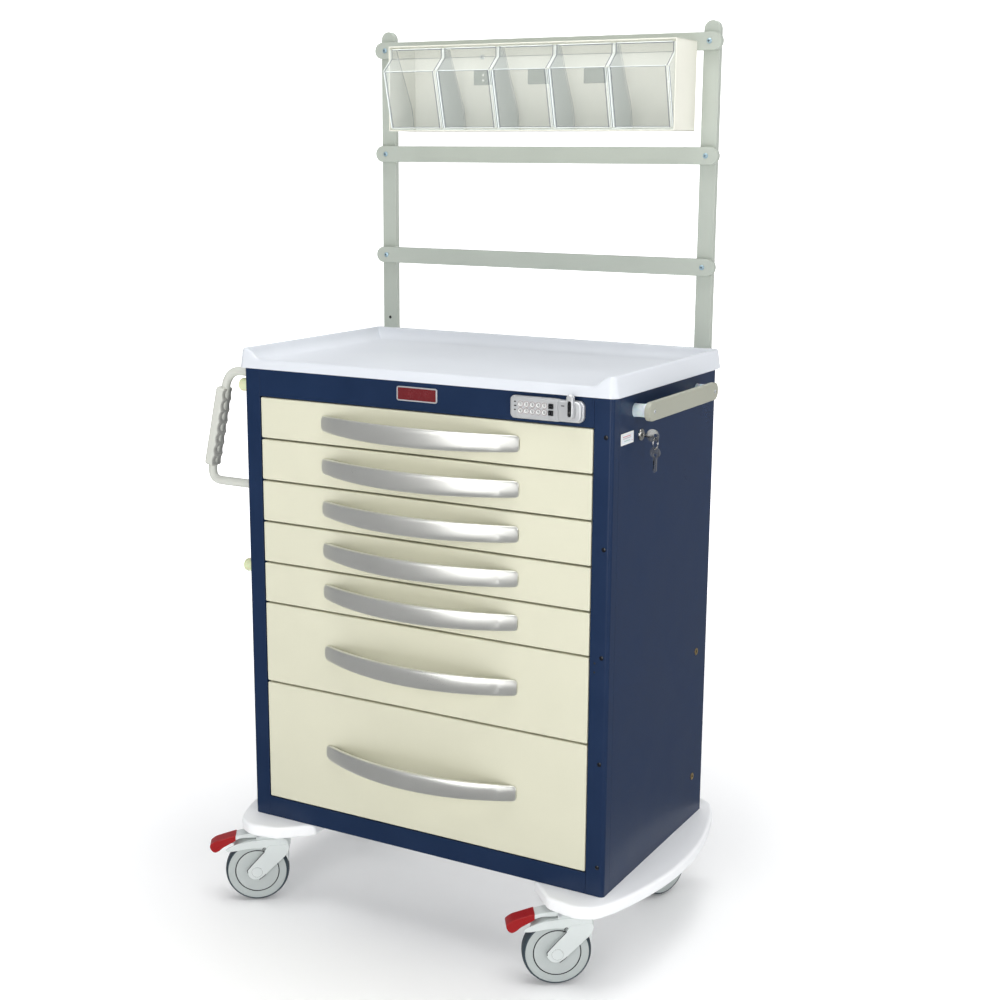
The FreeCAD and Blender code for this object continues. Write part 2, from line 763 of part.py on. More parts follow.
def rail_level(row):
    """The middle height of one rail, counted from the top one."""
    return TOP + size("rail_high") - size("rail_pitch") * row


def upright(side):
    """A flat upright with a round top, bolted to the cabinet's back."""
    body = new_body(f"upright_{'right' if side > 0 else 'left'}")
    outline = new_sketch(body, "XZ_Plane", -HALF_DEPTH - size("bar_thick"))
    half, middle = size("bar_width") / 2, size("upright_across") * side
    low, high = TOP - size("upright_foot"), TOP + size("upright_top")
    draw(outline, (middle - half, low), (middle + half, low), (middle + half, high - half),
         ((middle, high), (middle - half, high - half)))
    pad(body, outline, size("bar_thick"))
    return body


def bar_with_round_ends(name, role, middle, half_length, lift, thickness):
    """A flat bar with half-round ends."""
    body = new_body(name)
    half = size("bar_width") / 2
    (across, level), straight = middle, half_length - half
    outline = new_sketch(body, role, lift)
    draw(outline, (across - straight, level - half), (across + straight, level - half),
         ((across + half_length, level), (across + straight, level + half)),
         (across - straight, level + half),
         ((across - half_length, level), (across - straight, level - half)))
    pad(body, outline, thickness)
    return body


def overbridge():
    """Two uprights and three rails in front of them."""
    node("rack_uprights", upright(-1), upright(1))
    half = (size("rail_span") + size("bar_width")) / 2
    rails = [bar_with_round_ends(f"rack_rail_{row}", "XZ_Plane", (0, rail_level(row)), half, -HALF_DEPTH,
                                 size("bar_thick"))
             for row in range(RAIL_ROWS)]
    node("rack_rails", *rails)


# ---- tilt bins ----

HOUSING_FRONT = RAIL_FRONT - size("housing_depth")
HOUSING_FLOOR = TOP + size("housing_low")
BIN_CLEARANCE = 1
BIN_COUNT = 5


def bin_housing():
    """An open-fronted sheet box that holds five tilt-out bins."""
    wall, middle, half = size("housing_wall"), size("housing_offset"), size("housing_width") / 2
    left, right = middle - half, middle + half
    top = HOUSING_FLOOR + size("housing_height")
    inside = RAIL_FRONT - wall
    back = box("housing_back", (left, inside, HOUSING_FLOOR), (right, RAIL_FRONT, top))
    floor_top = HOUSING_FLOOR + wall
    floor = box("housing_floor", (left, HOUSING_FRONT, HOUSING_FLOOR), (right, inside, floor_top))
    roof = box("housing_roof", (left, HOUSING_FRONT, top - wall), (right, inside, top))
    ends = [box(f"housing_end_{side}", (low, HOUSING_FRONT, HOUSING_FLOOR + wall),
                (low + wall, inside, top - wall))
            for side, low in (("left", left), ("right", right - wall))]
    return node("bin_housing", back, floor, roof, *ends)


def tilt_bin(number, pitch):
    """One clear bin: wedge front, flat floor and a back wall curved about the hinge line."""
    body = new_body(f"bin_{number}")
    half = pitch / 2 - size("bin_gap") / 2
    wall = size("bin_wall")
    outer = new_sketch(body, "YZ_Plane")
    draw(outer, (0, 0), (88, 0), ((84, 32), (70, 62)), (24, 152), (0, 152), (0, 132), (-28, 108))
    pad(body, outer, half * 2, side="Symmetric")
    inner = new_sketch(body, "YZ_Plane")
    draw(inner, (wall, wall), (88 - wall, wall), ((82.2, 31.5), (68.3, 61)), (21, 154), (wall, 154),
         (wall, 131), (-28 + wall, 107.5))
    pocket(body, inner, (half - wall) * 2, side="Symmetric")
    middle = size("housing_offset") + pitch * (number - (BIN_COUNT + 1) / 2)
    floor = HOUSING_FLOOR + size("housing_wall")
    node(f"tilt_bin_{number}", body, place=(middle, HOUSING_FRONT + BIN_CLEARANCE, floor + BIN_CLEARANCE))


def tilt_bins():
    """The row of bins, side by side between the housing's end walls."""
    pitch = (size("housing_width") - size("housing_wall") * 2 - BIN_CLEARANCE) / BIN_COUNT
    for number in range(1, BIN_COUNT + 1):
        tilt_bin(number, pitch)


# ---- side fittings ----

SIDE_RAIL_LEVEL = TOP - 30
SIDE_RAIL_MIDDLE = -6.5
STANDOFFS = {"front": -141, "back": 134}


def accessory_rail():
    """A flat bar on two standoffs on the right side, and the standoffs."""
    bar = bar_with_round_ends("side_rail", "YZ_Plane", (SIDE_RAIL_MIDDLE, SIDE_RAIL_LEVEL),
                              size("side_rail_length") / 2, HALF_WIDTH + size("rail_standoff"),
                              size("side_rail_thick"))
    node("accessory_rail", bar)
    standoffs = [rod(f"standoff_{name}", (HALF_WIDTH, along, SIDE_RAIL_LEVEL), X, size("standoff_radius"),
                     size("rail_standoff"))
                 for name, along in STANDOFFS.items()]
    node("rail_standoffs", *standoffs)


GRIP_CORNER = 7
GRIP_SCALLOPS = 7
SCALLOP_RADIUS = 13
SCALLOP_DEPTH = 2


def push_grip(name):
    """The thick part of the push handle, scalloped for the fingers on the side towards the cabinet."""
    body = new_body(f"grip_{name}")
    half_across, half_along = size("grip_across") / 2, size("grip_along") / 2
    outline = round_rectangle(new_sketch(body, "XY_Plane"), (-half_across, -half_along),
                              (half_across, half_along), GRIP_CORNER)
    pad(body, outline, size("grip_length"))
    scallops = new_sketch(body, "XZ_Plane")
    pitch = size("grip_length") / GRIP_SCALLOPS
    for finger in range(GRIP_SCALLOPS):
        middle = (half_across + SCALLOP_RADIUS - SCALLOP_DEPTH, pitch * (finger + 0.5))
        ring(scallops, middle, SCALLOP_RADIUS)
    pocket(body, scallops, size("grip_along") + 2, side="Symmetric")
    return body


PUSH_OVERRUN = 6
BUMPER_DROPS = (37, 388)


def push_handle(name, along):
    """A bent tube with a thicker grip, cut flat where it meets the left side at both ends."""
    body = new_body(f"push_{name}")
    reach = size("push_reach")
    grip_top, grip_foot = (-64, -46), (-reach + 2, -200)
    spine = new_sketch(body, "XZ_Plane")
    draw(spine, (PUSH_OVERRUN, -13), (-28, -12), ((-52, -20), grip_top), grip_foot,
         ((-reach + 4, -221), (-reach + 16, -228)), (PUSH_OVERRUN, -228), closed=False)
    section = ring(new_sketch(body, "YZ_Plane", PUSH_OVERRUN), (0, -13), size("push_tube"))
    tube = body.newObject("PartDesign::AdditivePipe", f"{body.Name}_tube")
    tube.Profile = section
    tube.Spine = spine
    tube.Mode = "Frenet"
    put(body, (-HALF_WIDTH, along, TOP))
    lean = math.degrees(math.atan2((grip_top[0] - grip_foot[0]).number, grip_top[1] - grip_foot[1]))
    grip = put(push_grip(name), (grip_foot[0] - HALF_WIDTH, along, TOP + grip_foot[1] + 3), axis=Y,
               angle=lean)
    inside = box(f"push_{name}_inside", (-HALF_WIDTH, along - 20, TOP - 250),
                 (-HALF_WIDTH + 20, along + 20, TOP))
    return cut(f"push_{name}_trimmed", fuse(f"push_{name}_solid", body, grip), inside)


def side_fittings():
    """Push handles and bumpers on the left side."""
    along = size("push_along")
    node("push_handles", push_handle("front", -along), push_handle("back", along))
    bumpers = [rod(f"bumper_{name}_{level}", (-HALF_WIDTH, place, TOP - level), -X, size("bumper_radius"),
                   size("bumper_length"))
               for name, place in (("front", -along), ("back", along)) for level in BUMPER_DROPS]
    node("side_bumpers", *bumpers)


# ---- locks ----

PAD_MIDDLE = (260, TOP - 26)
KNOB_MIDDLE = (310.5, TOP - 16.5)
KNOB_STEM = 5.5


def keypad_case():
    """The keypad lock's case: a flat plate that thickens to a square end under the knob."""
    body = new_body("pad")
    outline = new_sketch(body, "XZ_Plane")
    draw(outline, (-65, -20), (20, -20), (22, -19), (62, -19), (69, -13), (69, 12), (63, 18),
         (22, 18), (20, 19), (-65, 19), (-70, 14), (-70, -14))
    pad(body, outline, size("pad_thick"))
    knob_end = new_sketch(body, "XZ_Plane")
    draw(knob_end, (24, -18), (61, -18), (68, -12), (68, 11), (62, 17), (24, 17))
    pad(body, knob_end, size("pad_end_thick"))
    wells = new_sketch(body, "XZ_Plane", size("pad_thick"))
    for across, level in button_places():
        ring(wells, (across, level), size("button_radius") + 0.4)
    for across, level in key_places():
        rectangle(wells, (across - 5.2, level - 5), (across + 5.2, level + 5))
    pocket(body, wells, size("button_length"))
    return node("keypad_case", body, place=(PAD_MIDDLE[0], -HALF_DEPTH, PAD_MIDDLE[1]))


def button_places():
    """Five columns and two rows of digit buttons, in the case's own frame."""
    return [(-49 + size("button_pitch") * column, 5.3 - size("button_pitch") * row)
            for row in range(2) for column in range(5)]


def key_places():
    """The two square function keys to the right of the digits."""
    return [(8.5, 5.3), (8.5, 5.3 - size("button_pitch"))]


def keypad_buttons():
    """Digit buttons and function keys, each in its own well."""
    floor = HALF_DEPTH + size("pad_thick") - size("button_length") + 1.5
    for number, (across, level) in enumerate(button_places(), start=1):
        cap = rod(f"button_{number}", (PAD_MIDDLE[0] + across, -floor, PAD_MIDDLE[1] + level), -Y,
                  size("button_radius"), size("button_length"))
        node(f"keypad_button_{number}", cap)
    for number, (across, level) in enumerate(key_places(), start=1):
        low = (PAD_MIDDLE[0] + across - 4.7, -floor - size("button_length"), PAD_MIDDLE[1] + level - 4.5)
        high = (PAD_MIDDLE[0] + across + 4.7, -floor, PAD_MIDDLE[1] + level + 4.5)
        node(f"keypad_key_{number}", box(f"key_{number}", low, high))


def lock_knob():
    """The oval turn knob that stands out of the keypad's thick end."""
    body = new_body("knob")
    outline = new_sketch(body, "XZ_Plane")
    draw(outline, (-6.5, -14), ((0, -20.5), (6.5, -14)), (6.5, 14), ((0, 20.5), (-6.5, 14)))
    pad(body, outline, size("knob_thick"))
    stem = ring(new_sketch(body, "XZ_Plane", -size("knob_stem")), (0, 0), KNOB_STEM)
    pad(body, stem, size("knob_stem") + 0.5)
    behind = -HALF_DEPTH - size("pad_end_thick") - size("knob_stem") - 0.3
    node("lock_knob", body, place=(KNOB_MIDDLE[0], behind, KNOB_MIDDLE[1]))


LOCK_FLANGE = 4
LOCK_DEPTH = 14
KEY_THICK = 2
KEY_EYE = 3.5
SPARE_EYE = 3.0
RING_REST = 0.3


def side_lock():
    """The fixed lock cylinder in the right side, and the plug that turns in it with its key."""
    face, inner = HALF_WIDTH + LOCK_FLANGE, HALF_WIDTH - LOCK_DEPTH
    barrel = rod("lock_barrel", (inner, LOCK_Y, LOCK_Z), X, LOCK_BODY_RADIUS, LOCK_DEPTH)
    flange = rod("lock_flange", (HALF_WIDTH, LOCK_Y, LOCK_Z), X, 10.5, LOCK_FLANGE)
    bore = rod("lock_bore", (inner - 1, LOCK_Y, LOCK_Z), X, size("plug_radius") + size("running_gap"), 20)
    node("side_lock_cylinder", cut("lock", fuse("lock_solid", barrel, flange), bore))
    plug = rod("lock_plug", (inner, LOCK_Y, LOCK_Z), X, size("plug_radius"), LOCK_DEPTH + LOCK_FLANGE + 0.2)
    keyway = box("keyway", (face - 12, LOCK_Y - 1.2, LOCK_Z - 4.2), (face + 1, LOCK_Y + 1.2, LOCK_Z + 4.2))
    blade = box("key_blade", (face - 11, LOCK_Y - 1, LOCK_Z - 4), (face + 9, LOCK_Y + 1, LOCK_Z + 4))
    bow = rod("key_bow", (face + size("key_reach") - 5, LOCK_Y - 1, LOCK_Z), Y, 11.5, KEY_THICK)
    eye = rod("key_eye", (face + size("key_reach"), LOCK_Y - 2, LOCK_Z), Y, KEY_EYE, KEY_THICK * 2)
    key = cut("key", fuse("key_solid", blade, bow), eye)
    node("side_lock_plug_and_key", cut("plug", plug, keyway), key)


def ring_and_spare_key():
    """A ring through the key's eye, with the spare key hanging from it."""
    across = HALF_WIDTH + LOCK_FLANGE + size("key_reach")
    wire_level = LOCK_Z - KEY_EYE + size("key_ring_wire") + RING_REST
    loop = DOC.addObject("Part::Torus", "key_loop")
    bind(loop, Radius1=size("key_ring_radius"), Radius2=size("key_ring_wire"))
    put(loop, (across, LOCK_Y, wire_level - size("key_ring_radius")), axis=Y, angle=90)
    eye_level = wire_level - size("key_ring_radius") * 2 - SPARE_EYE + size("key_ring_wire") + RING_REST
    eye = rod("spare_eye", (across, LOCK_Y - 2, eye_level), Y, SPARE_EYE, KEY_THICK * 2)
    bow = rod("spare_bow", (across, LOCK_Y - 1, eye_level - 4), Y, 9.5, KEY_THICK)
    blade = box("spare_blade", (across - 3.5, LOCK_Y - 1, eye_level - 38),
                (across + 3.5, LOCK_Y + 1, eye_level - 12))
    node("spare_key_ring", loop, cut("spare_key", fuse("spare_solid", bow, blade), eye))


# ---- trim ----

def name_badge():
    """A blank plate on the top rail."""
    body = new_body("badge")
    outline = round_rectangle(new_sketch(body, "XZ_Plane"), (-41.5, -13), (41.5, 13), 4)
    pad(body, outline, 2)
    node("name_badge", body, place=(0, -HALF_DEPTH, TOP - 22.6))


STILE_PLUG_ACROSS = 367
STILE_PLUG_DROPS = (66, 257, 447, 639, 831)
INSERT_LENGTH = 12


def fasteners():
    """Screw heads on the bars, plugs in the right stile, and the threaded inserts of the right side."""
    pieces = []
    for side in (-1, 1):
        for row in range(RAIL_ROWS):
            place = (size("upright_across") * side, RAIL_FRONT, rail_level(row))
            pieces.append(rod(f"rail_screw_{row}_{side + 1}", place, -Y, 5, 1.5))
    rail_face = HALF_WIDTH + size("rail_standoff") + size("side_rail_thick")
    pieces += [rod(f"side_rail_screw_{name}", (rail_face, along, SIDE_RAIL_LEVEL), X, 4, 1)
               for name, along in STANDOFFS.items()]
    pieces += [rod(f"stile_plug_{drop}", (STILE_PLUG_ACROSS, -HALF_DEPTH, TOP - drop), -Y, 3, 1.2)
               for drop in STILE_PLUG_DROPS]
    for drop in INSERT_DROPS:
        inner, level = HALF_WIDTH - INSERT_LENGTH, TOP - drop
        sleeve = rod(f"insert_sleeve_{drop}", (inner, INSERT_Y, level), X, INSERT_RADIUS - 0.3,
                     INSERT_LENGTH)
        flange = rod(f"insert_flange_{drop}", (HALF_WIDTH, INSERT_Y, level), X, 7, 1.2)
        bore = rod(f"insert_bore_{drop}", (inner - 1, INSERT_Y, level), X, INSERT_BORE, INSERT_LENGTH + 4)
        pieces.append(cut(f"insert_{drop}", fuse(f"insert_solid_{drop}", sleeve, flange), bore))
    node("fasteners", *pieces)


def check_and_export():
    """Stop on a failed object or a bad shape, then write each sub-part to its own file."""
    DOC.recompute()
    for item in DOC.Objects:
        if "Invalid" in item.State or "Error" in item.State:
            raise RuntimeError(f"{item.Label} failed: {item.State}")
    for part in NODES:
        if part.Shape.isNull() or not part.Shape.isValid() or not part.Shape.Solids:
            raise RuntimeError(f"{part.Label} has no valid solid")
    os.makedirs("parts", exist_ok=True)
    for part in NODES:
        part.Shape.exportStep(f"parts/{part.Label}.step")
    print(len(NODES), "nodes written")


def main():
    fill_sheet()
    cabinet_shell()
    front_frame()
    slide_channels()
    for number, (bottom, height) in enumerate(drawer_levels(), start=1):
        drawer(number, bottom, height)
        drawer_handle(number, bottom + height / 2)
    worktop_tray()
    base_platform()
    casters()
    overbridge()
    bin_housing()
    tilt_bins()
    accessory_rail()
    side_fittings()
    keypad_case()
    keypad_buttons()
    lock_knob()
    side_lock()
    ring_and_spare_key()
    name_badge()
    fasteners()
    check_and_export()


main()
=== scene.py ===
"""Looks for the medication cart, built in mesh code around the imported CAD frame.

Shapes are given in millimetres from the middle of the cabinet on the floor: X to the right, Y to the back,
Z up. A piece is turned into metres in the row frame when it is finished.
"""

import json
import math

import bmesh
import bpy
from mathutils import Matrix, Vector


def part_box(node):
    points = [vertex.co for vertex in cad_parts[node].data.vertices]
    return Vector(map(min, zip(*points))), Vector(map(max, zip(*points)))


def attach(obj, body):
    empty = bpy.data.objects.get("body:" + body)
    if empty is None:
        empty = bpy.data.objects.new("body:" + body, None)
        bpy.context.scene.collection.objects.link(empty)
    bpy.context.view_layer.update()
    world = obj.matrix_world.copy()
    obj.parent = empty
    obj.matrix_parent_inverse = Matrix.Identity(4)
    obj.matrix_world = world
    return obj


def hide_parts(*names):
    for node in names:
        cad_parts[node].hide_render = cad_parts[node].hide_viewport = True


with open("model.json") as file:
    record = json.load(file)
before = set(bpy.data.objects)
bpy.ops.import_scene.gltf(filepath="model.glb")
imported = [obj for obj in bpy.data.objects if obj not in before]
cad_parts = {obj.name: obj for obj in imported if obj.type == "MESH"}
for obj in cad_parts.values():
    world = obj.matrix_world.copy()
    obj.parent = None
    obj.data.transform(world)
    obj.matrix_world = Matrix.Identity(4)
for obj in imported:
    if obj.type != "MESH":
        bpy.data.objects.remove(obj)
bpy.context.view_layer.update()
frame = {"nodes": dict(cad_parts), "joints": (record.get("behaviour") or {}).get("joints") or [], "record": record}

MM = 0.001
FRAME_LOW, FRAME_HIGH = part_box("front_frame")
SHELL_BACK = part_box("cabinet_shell")[1].y
MIDDLE = Vector(((FRAME_LOW.x + FRAME_HIGH.x) / 2, (FRAME_LOW.y + SHELL_BACK) / 2, 0))
HALF_WIDTH = (FRAME_HIGH.x - FRAME_LOW.x) / 2 / MM
HALF_DEPTH = (SHELL_BACK - FRAME_LOW.y) / 2 / MM
FLOOR, TOP = FRAME_LOW.z / MM, FRAME_HIGH.z / MM


def local_box(node):
    """A CAD node's lowest and highest corner, in millimetres from the cabinet's middle."""
    low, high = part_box(node)
    return (low - MIDDLE) / MM, (high - MIDDLE) / MM


def joint_place(name):
    """A joint's point, in millimetres from the cabinet's middle, and its axis."""
    joint = next(joint for joint in frame["joints"] if joint["name"] == name)
    place = (Vector(joint["pos_m"]) - MIDDLE) / MM if "pos_m" in joint else None
    return place, Vector(joint["axis"]).normalized()


# ---- mesh building ----

TIP = 0.01  # the radius at which a turned profile meets its axis


def sorted_pair(sign, near, far):
    """Two distances on the side that sign names, the lower first."""
    return sorted((sign * near, sign * far))


def across(axis):
    """Two directions at right angles to an axis and to each other."""
    axis = Vector(axis).normalized()
    helper = Vector((0, 0, 1)) if abs(axis.z) < 0.9 else Vector((1, 0, 0))
    first = helper.cross(axis).normalized()
    return first, axis.cross(first)


def turned(x, y, degrees):
    """The matrix of a local frame that stands at (x, y) and is turned about Z."""
    return Matrix.Translation((x, y, 0)) @ Matrix.Rotation(math.radians(degrees), 4, "Z")


class Shape:
    """Faces gathered for one piece; each face keeps the number of its material."""

    def __init__(self):
        self.points, self.faces, self.kinds = [], [], []

    def add(self, points, faces, kind=0, matrix=None):
        """Points and faces; kind is one material number or a list with one for each face."""
        start = len(self.points)
        self.points += [matrix @ Vector(p) if matrix else Vector(p) for p in points]
        self.faces += [[start + index for index in face] for face in faces]
        self.kinds += kind if isinstance(kind, list) else [kind] * len(faces)
        return self

    def take(self, bm, kind, matrix):
        """Everything in a bmesh, which is freed."""
        bm.verts.index_update()
        self.add([v.co[:] for v in bm.verts], [[v.index for v in f.verts] for f in bm.faces], kind, matrix)
        bm.free()
        return self

    def block(self, low, high, radius=0.8, kind=0, matrix=None, steps=2):
        """A block with rounded edges."""
        bm = bmesh.new()
        bmesh.ops.create_cube(bm, size=1)
        for v in bm.verts:
            v.co = [(a + b) / 2 + (b - a) * c for a, b, c in zip(low, high, v.co)]
        radius = min([radius] + [abs(b - a) * 0.45 for a, b in zip(low, high)])
        bmesh.ops.bevel(bm, geom=bm.edges[:], offset=radius, segments=steps, profile=0.5, affect="EDGES")
        return self.take(bm, kind, matrix)

    def prism(self, outline, axis, low, high, radius=0.8, kind=0, matrix=None, steps=2):
        """An outline pushed along an axis, with rounded edges at its two ends."""
        count, place = len(outline), "xyz".index(axis)
        bm = bmesh.new()
        rings = [[bm.verts.new((*point[:place], level, *point[place:])) for point in map(tuple, outline)]
                 for level in (low, high)]
        for i in range(count):
            j = (i + 1) % count
            bm.faces.new((rings[0][i], rings[0][j], rings[1][j], rings[1][i]))
        caps = [bm.faces.new(ring) for ring in rings]
        bmesh.ops.recalc_face_normals(bm, faces=bm.faces[:])
        edges = list({edge for cap in caps for edge in cap.edges})
        bmesh.ops.bevel(bm, geom=edges, offset=radius, segments=steps, profile=0.5, affect="EDGES",
                        clamp_overlap=True)
        return self.take(bm, kind, matrix)

    def loft(self, rings, kind=0, kinds=None, looped=False, matrix=None, first_cap=True):
        """Closed rings of equally many points, joined in order; kinds has a material for each span."""
        count, spans = len(rings[0]), len(rings) - (not looped)
        kinds = kinds or [kind] * spans
        faces, face_kinds = [], []
        for span in range(spans):
            a, b = span * count, (span + 1) % len(rings) * count
            faces += [[a + i, a + (i + 1) % count, b + (i + 1) % count, b + i] for i in range(count)]
            face_kinds += [kinds[span]] * count
        if not looped and first_cap:
            faces.append(list(reversed(range(count))))
            face_kinds.append(kinds[0])
        if not looped:
            faces.append([spans * count + i for i in range(count)])
            face_kinds.append(kinds[-1])
        return self.add([p for ring in rings for p in ring], faces, face_kinds, matrix)

    def lathe(self, profile, centre, axis, steps=48, kind=0, kinds=None, matrix=None, looped=False, tips=True):
        """A profile of (along, radius) pairs turned about an axis; tips carry its open ends in to the axis."""
        if tips and not looped:
            start, end = ([(along, TIP)] if radius > TIP else [] for along, radius in (profile[0], profile[-1]))
            profile = start + profile + end
        first, second = across(axis)
        centre, axis = Vector(centre), Vector(axis).normalized()
        angles = [math.tau * i / steps for i in range(steps)]
        rings = [[centre + axis * along + first * radius * math.cos(t) + second * radius * math.sin(t)
                  for t in angles] for along, radius in profile]
        return self.loft(rings, kind, kinds, looped, matrix)

    def tube(self, path, radius, steps=20, kind=0, looped=False, matrix=None, up=None):
        """A round tube along a smooth path; up chooses where its seam lies."""
        path = [Vector(p) for p in path]
        last = len(path) - 1
        side = None
        rings = []
        for i, p in enumerate(path):
            before = path[i - 1] if i or looped else p
            after = path[(i + 1) % len(path)] if i < last or looped else p
            along = (after - before).normalized()
            if side is None:
                side = (Vector(up).cross(along) if up else across(along)[0]).normalized()
            side = (side - along * side.dot(along)).normalized()
            top = along.cross(side)
            rings.append([p + side * radius * math.cos(t) + top * radius * math.sin(t)
                          for t in (math.tau * k / steps for k in range(steps))])
        return self.loft(rings, kind, None, looped, matrix)


def arc(cx, cy, radius, start, end, steps=8):
    """Points on an arc, angles in degrees."""
    return [(cx + radius * math.cos(math.radians(start + (end - start) * i / steps)),
             cy + radius * math.sin(math.radians(start + (end - start) * i / steps))) for i in range(steps + 1)]


def round_outline(x0, y0, x1, y1, radius, steps=8):
    """The points of a rectangle with round corners, anticlockwise."""
    left, right, low, high = x0 + radius, x1 - radius, y0 + radius, y1 - radius
    corners = ((right, low, -90), (right, high, 0), (left, high, 90), (left, low, 180))
    return [point for x, y, start in corners for point in arc(x, y, radius, start, start + 90, steps)]


def bar_outline(low, high, level, half):
    """The points of a level bar with two round ends."""
    return arc(high - half, level, half, -90, 90, 18) + arc(low + half, level, half, 90, 270, 18)


def rounded(points, radius, steps=5):
    """A polygon with each corner rounded; radius is a number or one for each corner."""
    result = []
    count = len(points)
    for i, here in enumerate(points):
        r = radius[i] if isinstance(radius, (list, tuple)) else radius
        here, before, after = Vector(here), Vector(points[i - 1]), Vector(points[(i + 1) % count])
        to_before, to_after = (before - here), (after - here)
        bite = min(r, to_before.length * 0.49, to_after.length * 0.49)
        if bite < 0.01:
            result.append(tuple(here))
            continue
        a, b = here + to_before.normalized() * bite, here + to_after.normalized() * bite
        for k in range(steps + 1):
            t = k / steps
            result.append(tuple(a * (1 - t) ** 2 + here * 2 * t * (1 - t) + b * t * t))
    return result


def smooth_curve(points, steps=8):
    """A Catmull-Rom curve through points."""
    points = [Vector(p) for p in points]
    last = len(points) - 1
    result = []
    for i in range(last):
        p0, p1, p2, p3 = points[max(i - 1, 0)], points[i], points[i + 1], points[min(i + 2, last)]
        for t in (k / steps for k in range(steps)):
            result.append(0.5 * (2 * p1 + (p2 - p0) * t + (2 * p0 - 5 * p1 + 4 * p2 - p3) * t * t
                                 + (3 * p1 - p0 - 3 * p2 + p3) * t ** 3))
    return result + [points[-1]]


def piece(name, shape, body, materials, replaces=(), sharp=38):
    """Finish a shape as an object that rides on a CAD body."""
    mesh = bpy.data.meshes.new(name)
    mesh.from_pydata([MIDDLE + p * MM for p in shape.points], [], shape.faces)
    for material in materials if isinstance(materials, (list, tuple)) else [materials]:
        mesh.materials.append(material)
    mesh.polygons.foreach_set("material_index", shape.kinds)
    bm = bmesh.new()
    bm.from_mesh(mesh)
    bmesh.ops.remove_doubles(bm, verts=bm.verts[:], dist=1e-6)
    bmesh.ops.recalc_face_normals(bm, faces=bm.faces[:])
    for edge in bm.edges:
        edge.smooth = edge.calc_face_angle(0) < math.radians(sharp)
    for face in bm.faces:
        face.smooth = True
    bm.to_mesh(mesh)
    bm.free()
    obj = bpy.data.objects.new(name, mesh)
    bpy.context.scene.collection.objects.link(obj)
    obj.modifiers.new("weighted_normals", "WEIGHTED_NORMAL").keep_sharp = True
    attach(obj, body)
    if replaces:
        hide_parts(*replaces)
    return obj


# ---- materials ----

ORANGE_PEEL = (420, 0.00006, (1, 1, 1))
MOULD = (1400, 0.00003, (1, 1, 1))
STEEL_GRAIN = (500, 0.00003, (1, 1, 1))
FINE_SHARE, BROAD_SHARE = 0.35, 0.65
NOISE_LOW, NOISE_HIGH = 0.3, 0.7


def set_inputs(node, values):
    """Give a node's inputs their values; another node's output is linked."""
    for socket, value in values.items():
        if isinstance(value, bpy.types.NodeSocket):
            node.id_data.links.new(value, node.inputs[socket])
        else:
            node.inputs[socket].default_value = value
    return node


def add_node(tree, kind, values, **settings):
    """A new shader node with its input values and settings."""
    node = tree.nodes.new("ShaderNode" + kind)
    for setting, value in settings.items():
        setattr(node, setting, value)
    return set_inputs(node, values)


def surface(name, colour, roughness, metallic=0.0, grain=MOULD, mottle=0.04, spread=0.06, **sockets):
    """A procedural finish: mottled colour, uneven roughness and a fine grain.

    grain is (scale, depth in metres, (stretch x, y, z)); other named values go to the shader's sockets.
    """
    material = bpy.data.materials.new(name)
    material.use_nodes = True
    tree = material.node_tree
    place = add_node(tree, "TexCoord", {}).outputs["Object"]

    def noise(scale, detail, stretch):
        mapped = add_node(tree, "Mapping", {"Scale": stretch, "Vector": place}).outputs["Vector"]
        return add_node(tree, "TexNoise", {"Scale": scale, "Detail": detail, "Vector": mapped}).outputs["Fac"]

    scale, depth, stretch = grain
    fine, broad = noise(scale, 3, stretch), noise(9, 4, (1, 1, 1))
    share = add_node(tree, "Math", {0: broad, 1: BROAD_SHARE}, operation="MULTIPLY").outputs[0]
    blend = add_node(tree, "Math", {0: fine, 1: FINE_SHARE, 2: share}, operation="MULTIPLY_ADD").outputs[0]
    ramp = add_node(tree, "ValToRGB", {"Fac": blend})
    stops = ((NOISE_LOW, 1 - mottle), (NOISE_HIGH, 1 + mottle))
    for element, (level, factor) in zip(ramp.color_ramp.elements, stops):
        element.position = level
        element.color = [min(1, c * factor) for c in colour] + [1]
    uneven = add_node(tree, "MapRange", {
        "Value": blend, "From Min": NOISE_LOW, "From Max": NOISE_HIGH,
        "To Min": max(0.02, roughness - spread), "To Max": min(1, roughness + spread)})
    bump = add_node(tree, "Bump", {"Strength": 1.0, "Distance": depth, "Height": fine})
    set_inputs(tree.nodes["Principled BSDF"], {
        "Metallic": metallic, "Base Color": ramp.outputs["Color"], "Roughness": uneven.outputs["Result"],
        "Normal": bump.outputs["Normal"],
        **{socket.replace("_", " "): value for socket, value in sockets.items()}})
    return material


def clear_plastic(name, colour, low, high, painted_glow):
    """Clear plastic: nearly transparent seen square on, and bright and solid at grazing angles; its emission is a
    painted glow that brightens it.
    """
    material = surface(name, colour, 0.06, mottle=0.01, spread=0.03, grain=(60, 0.00002, (1, 1, 1)),
                       IOR=1.49, Emission_Color=(0.90, 1.0, 0.93, 1), Emission_Strength=painted_glow)
    tree = material.node_tree
    facing = add_node(tree, "LayerWeight", {"Blend": 0.35}).outputs["Facing"]
    alpha = add_node(tree, "MapRange", {"To Min": low, "To Max": high, "Value": facing}).outputs["Result"]
    set_inputs(tree.nodes["Principled BSDF"], {"Alpha": alpha})
    material.surface_render_method = "BLENDED"
    return material


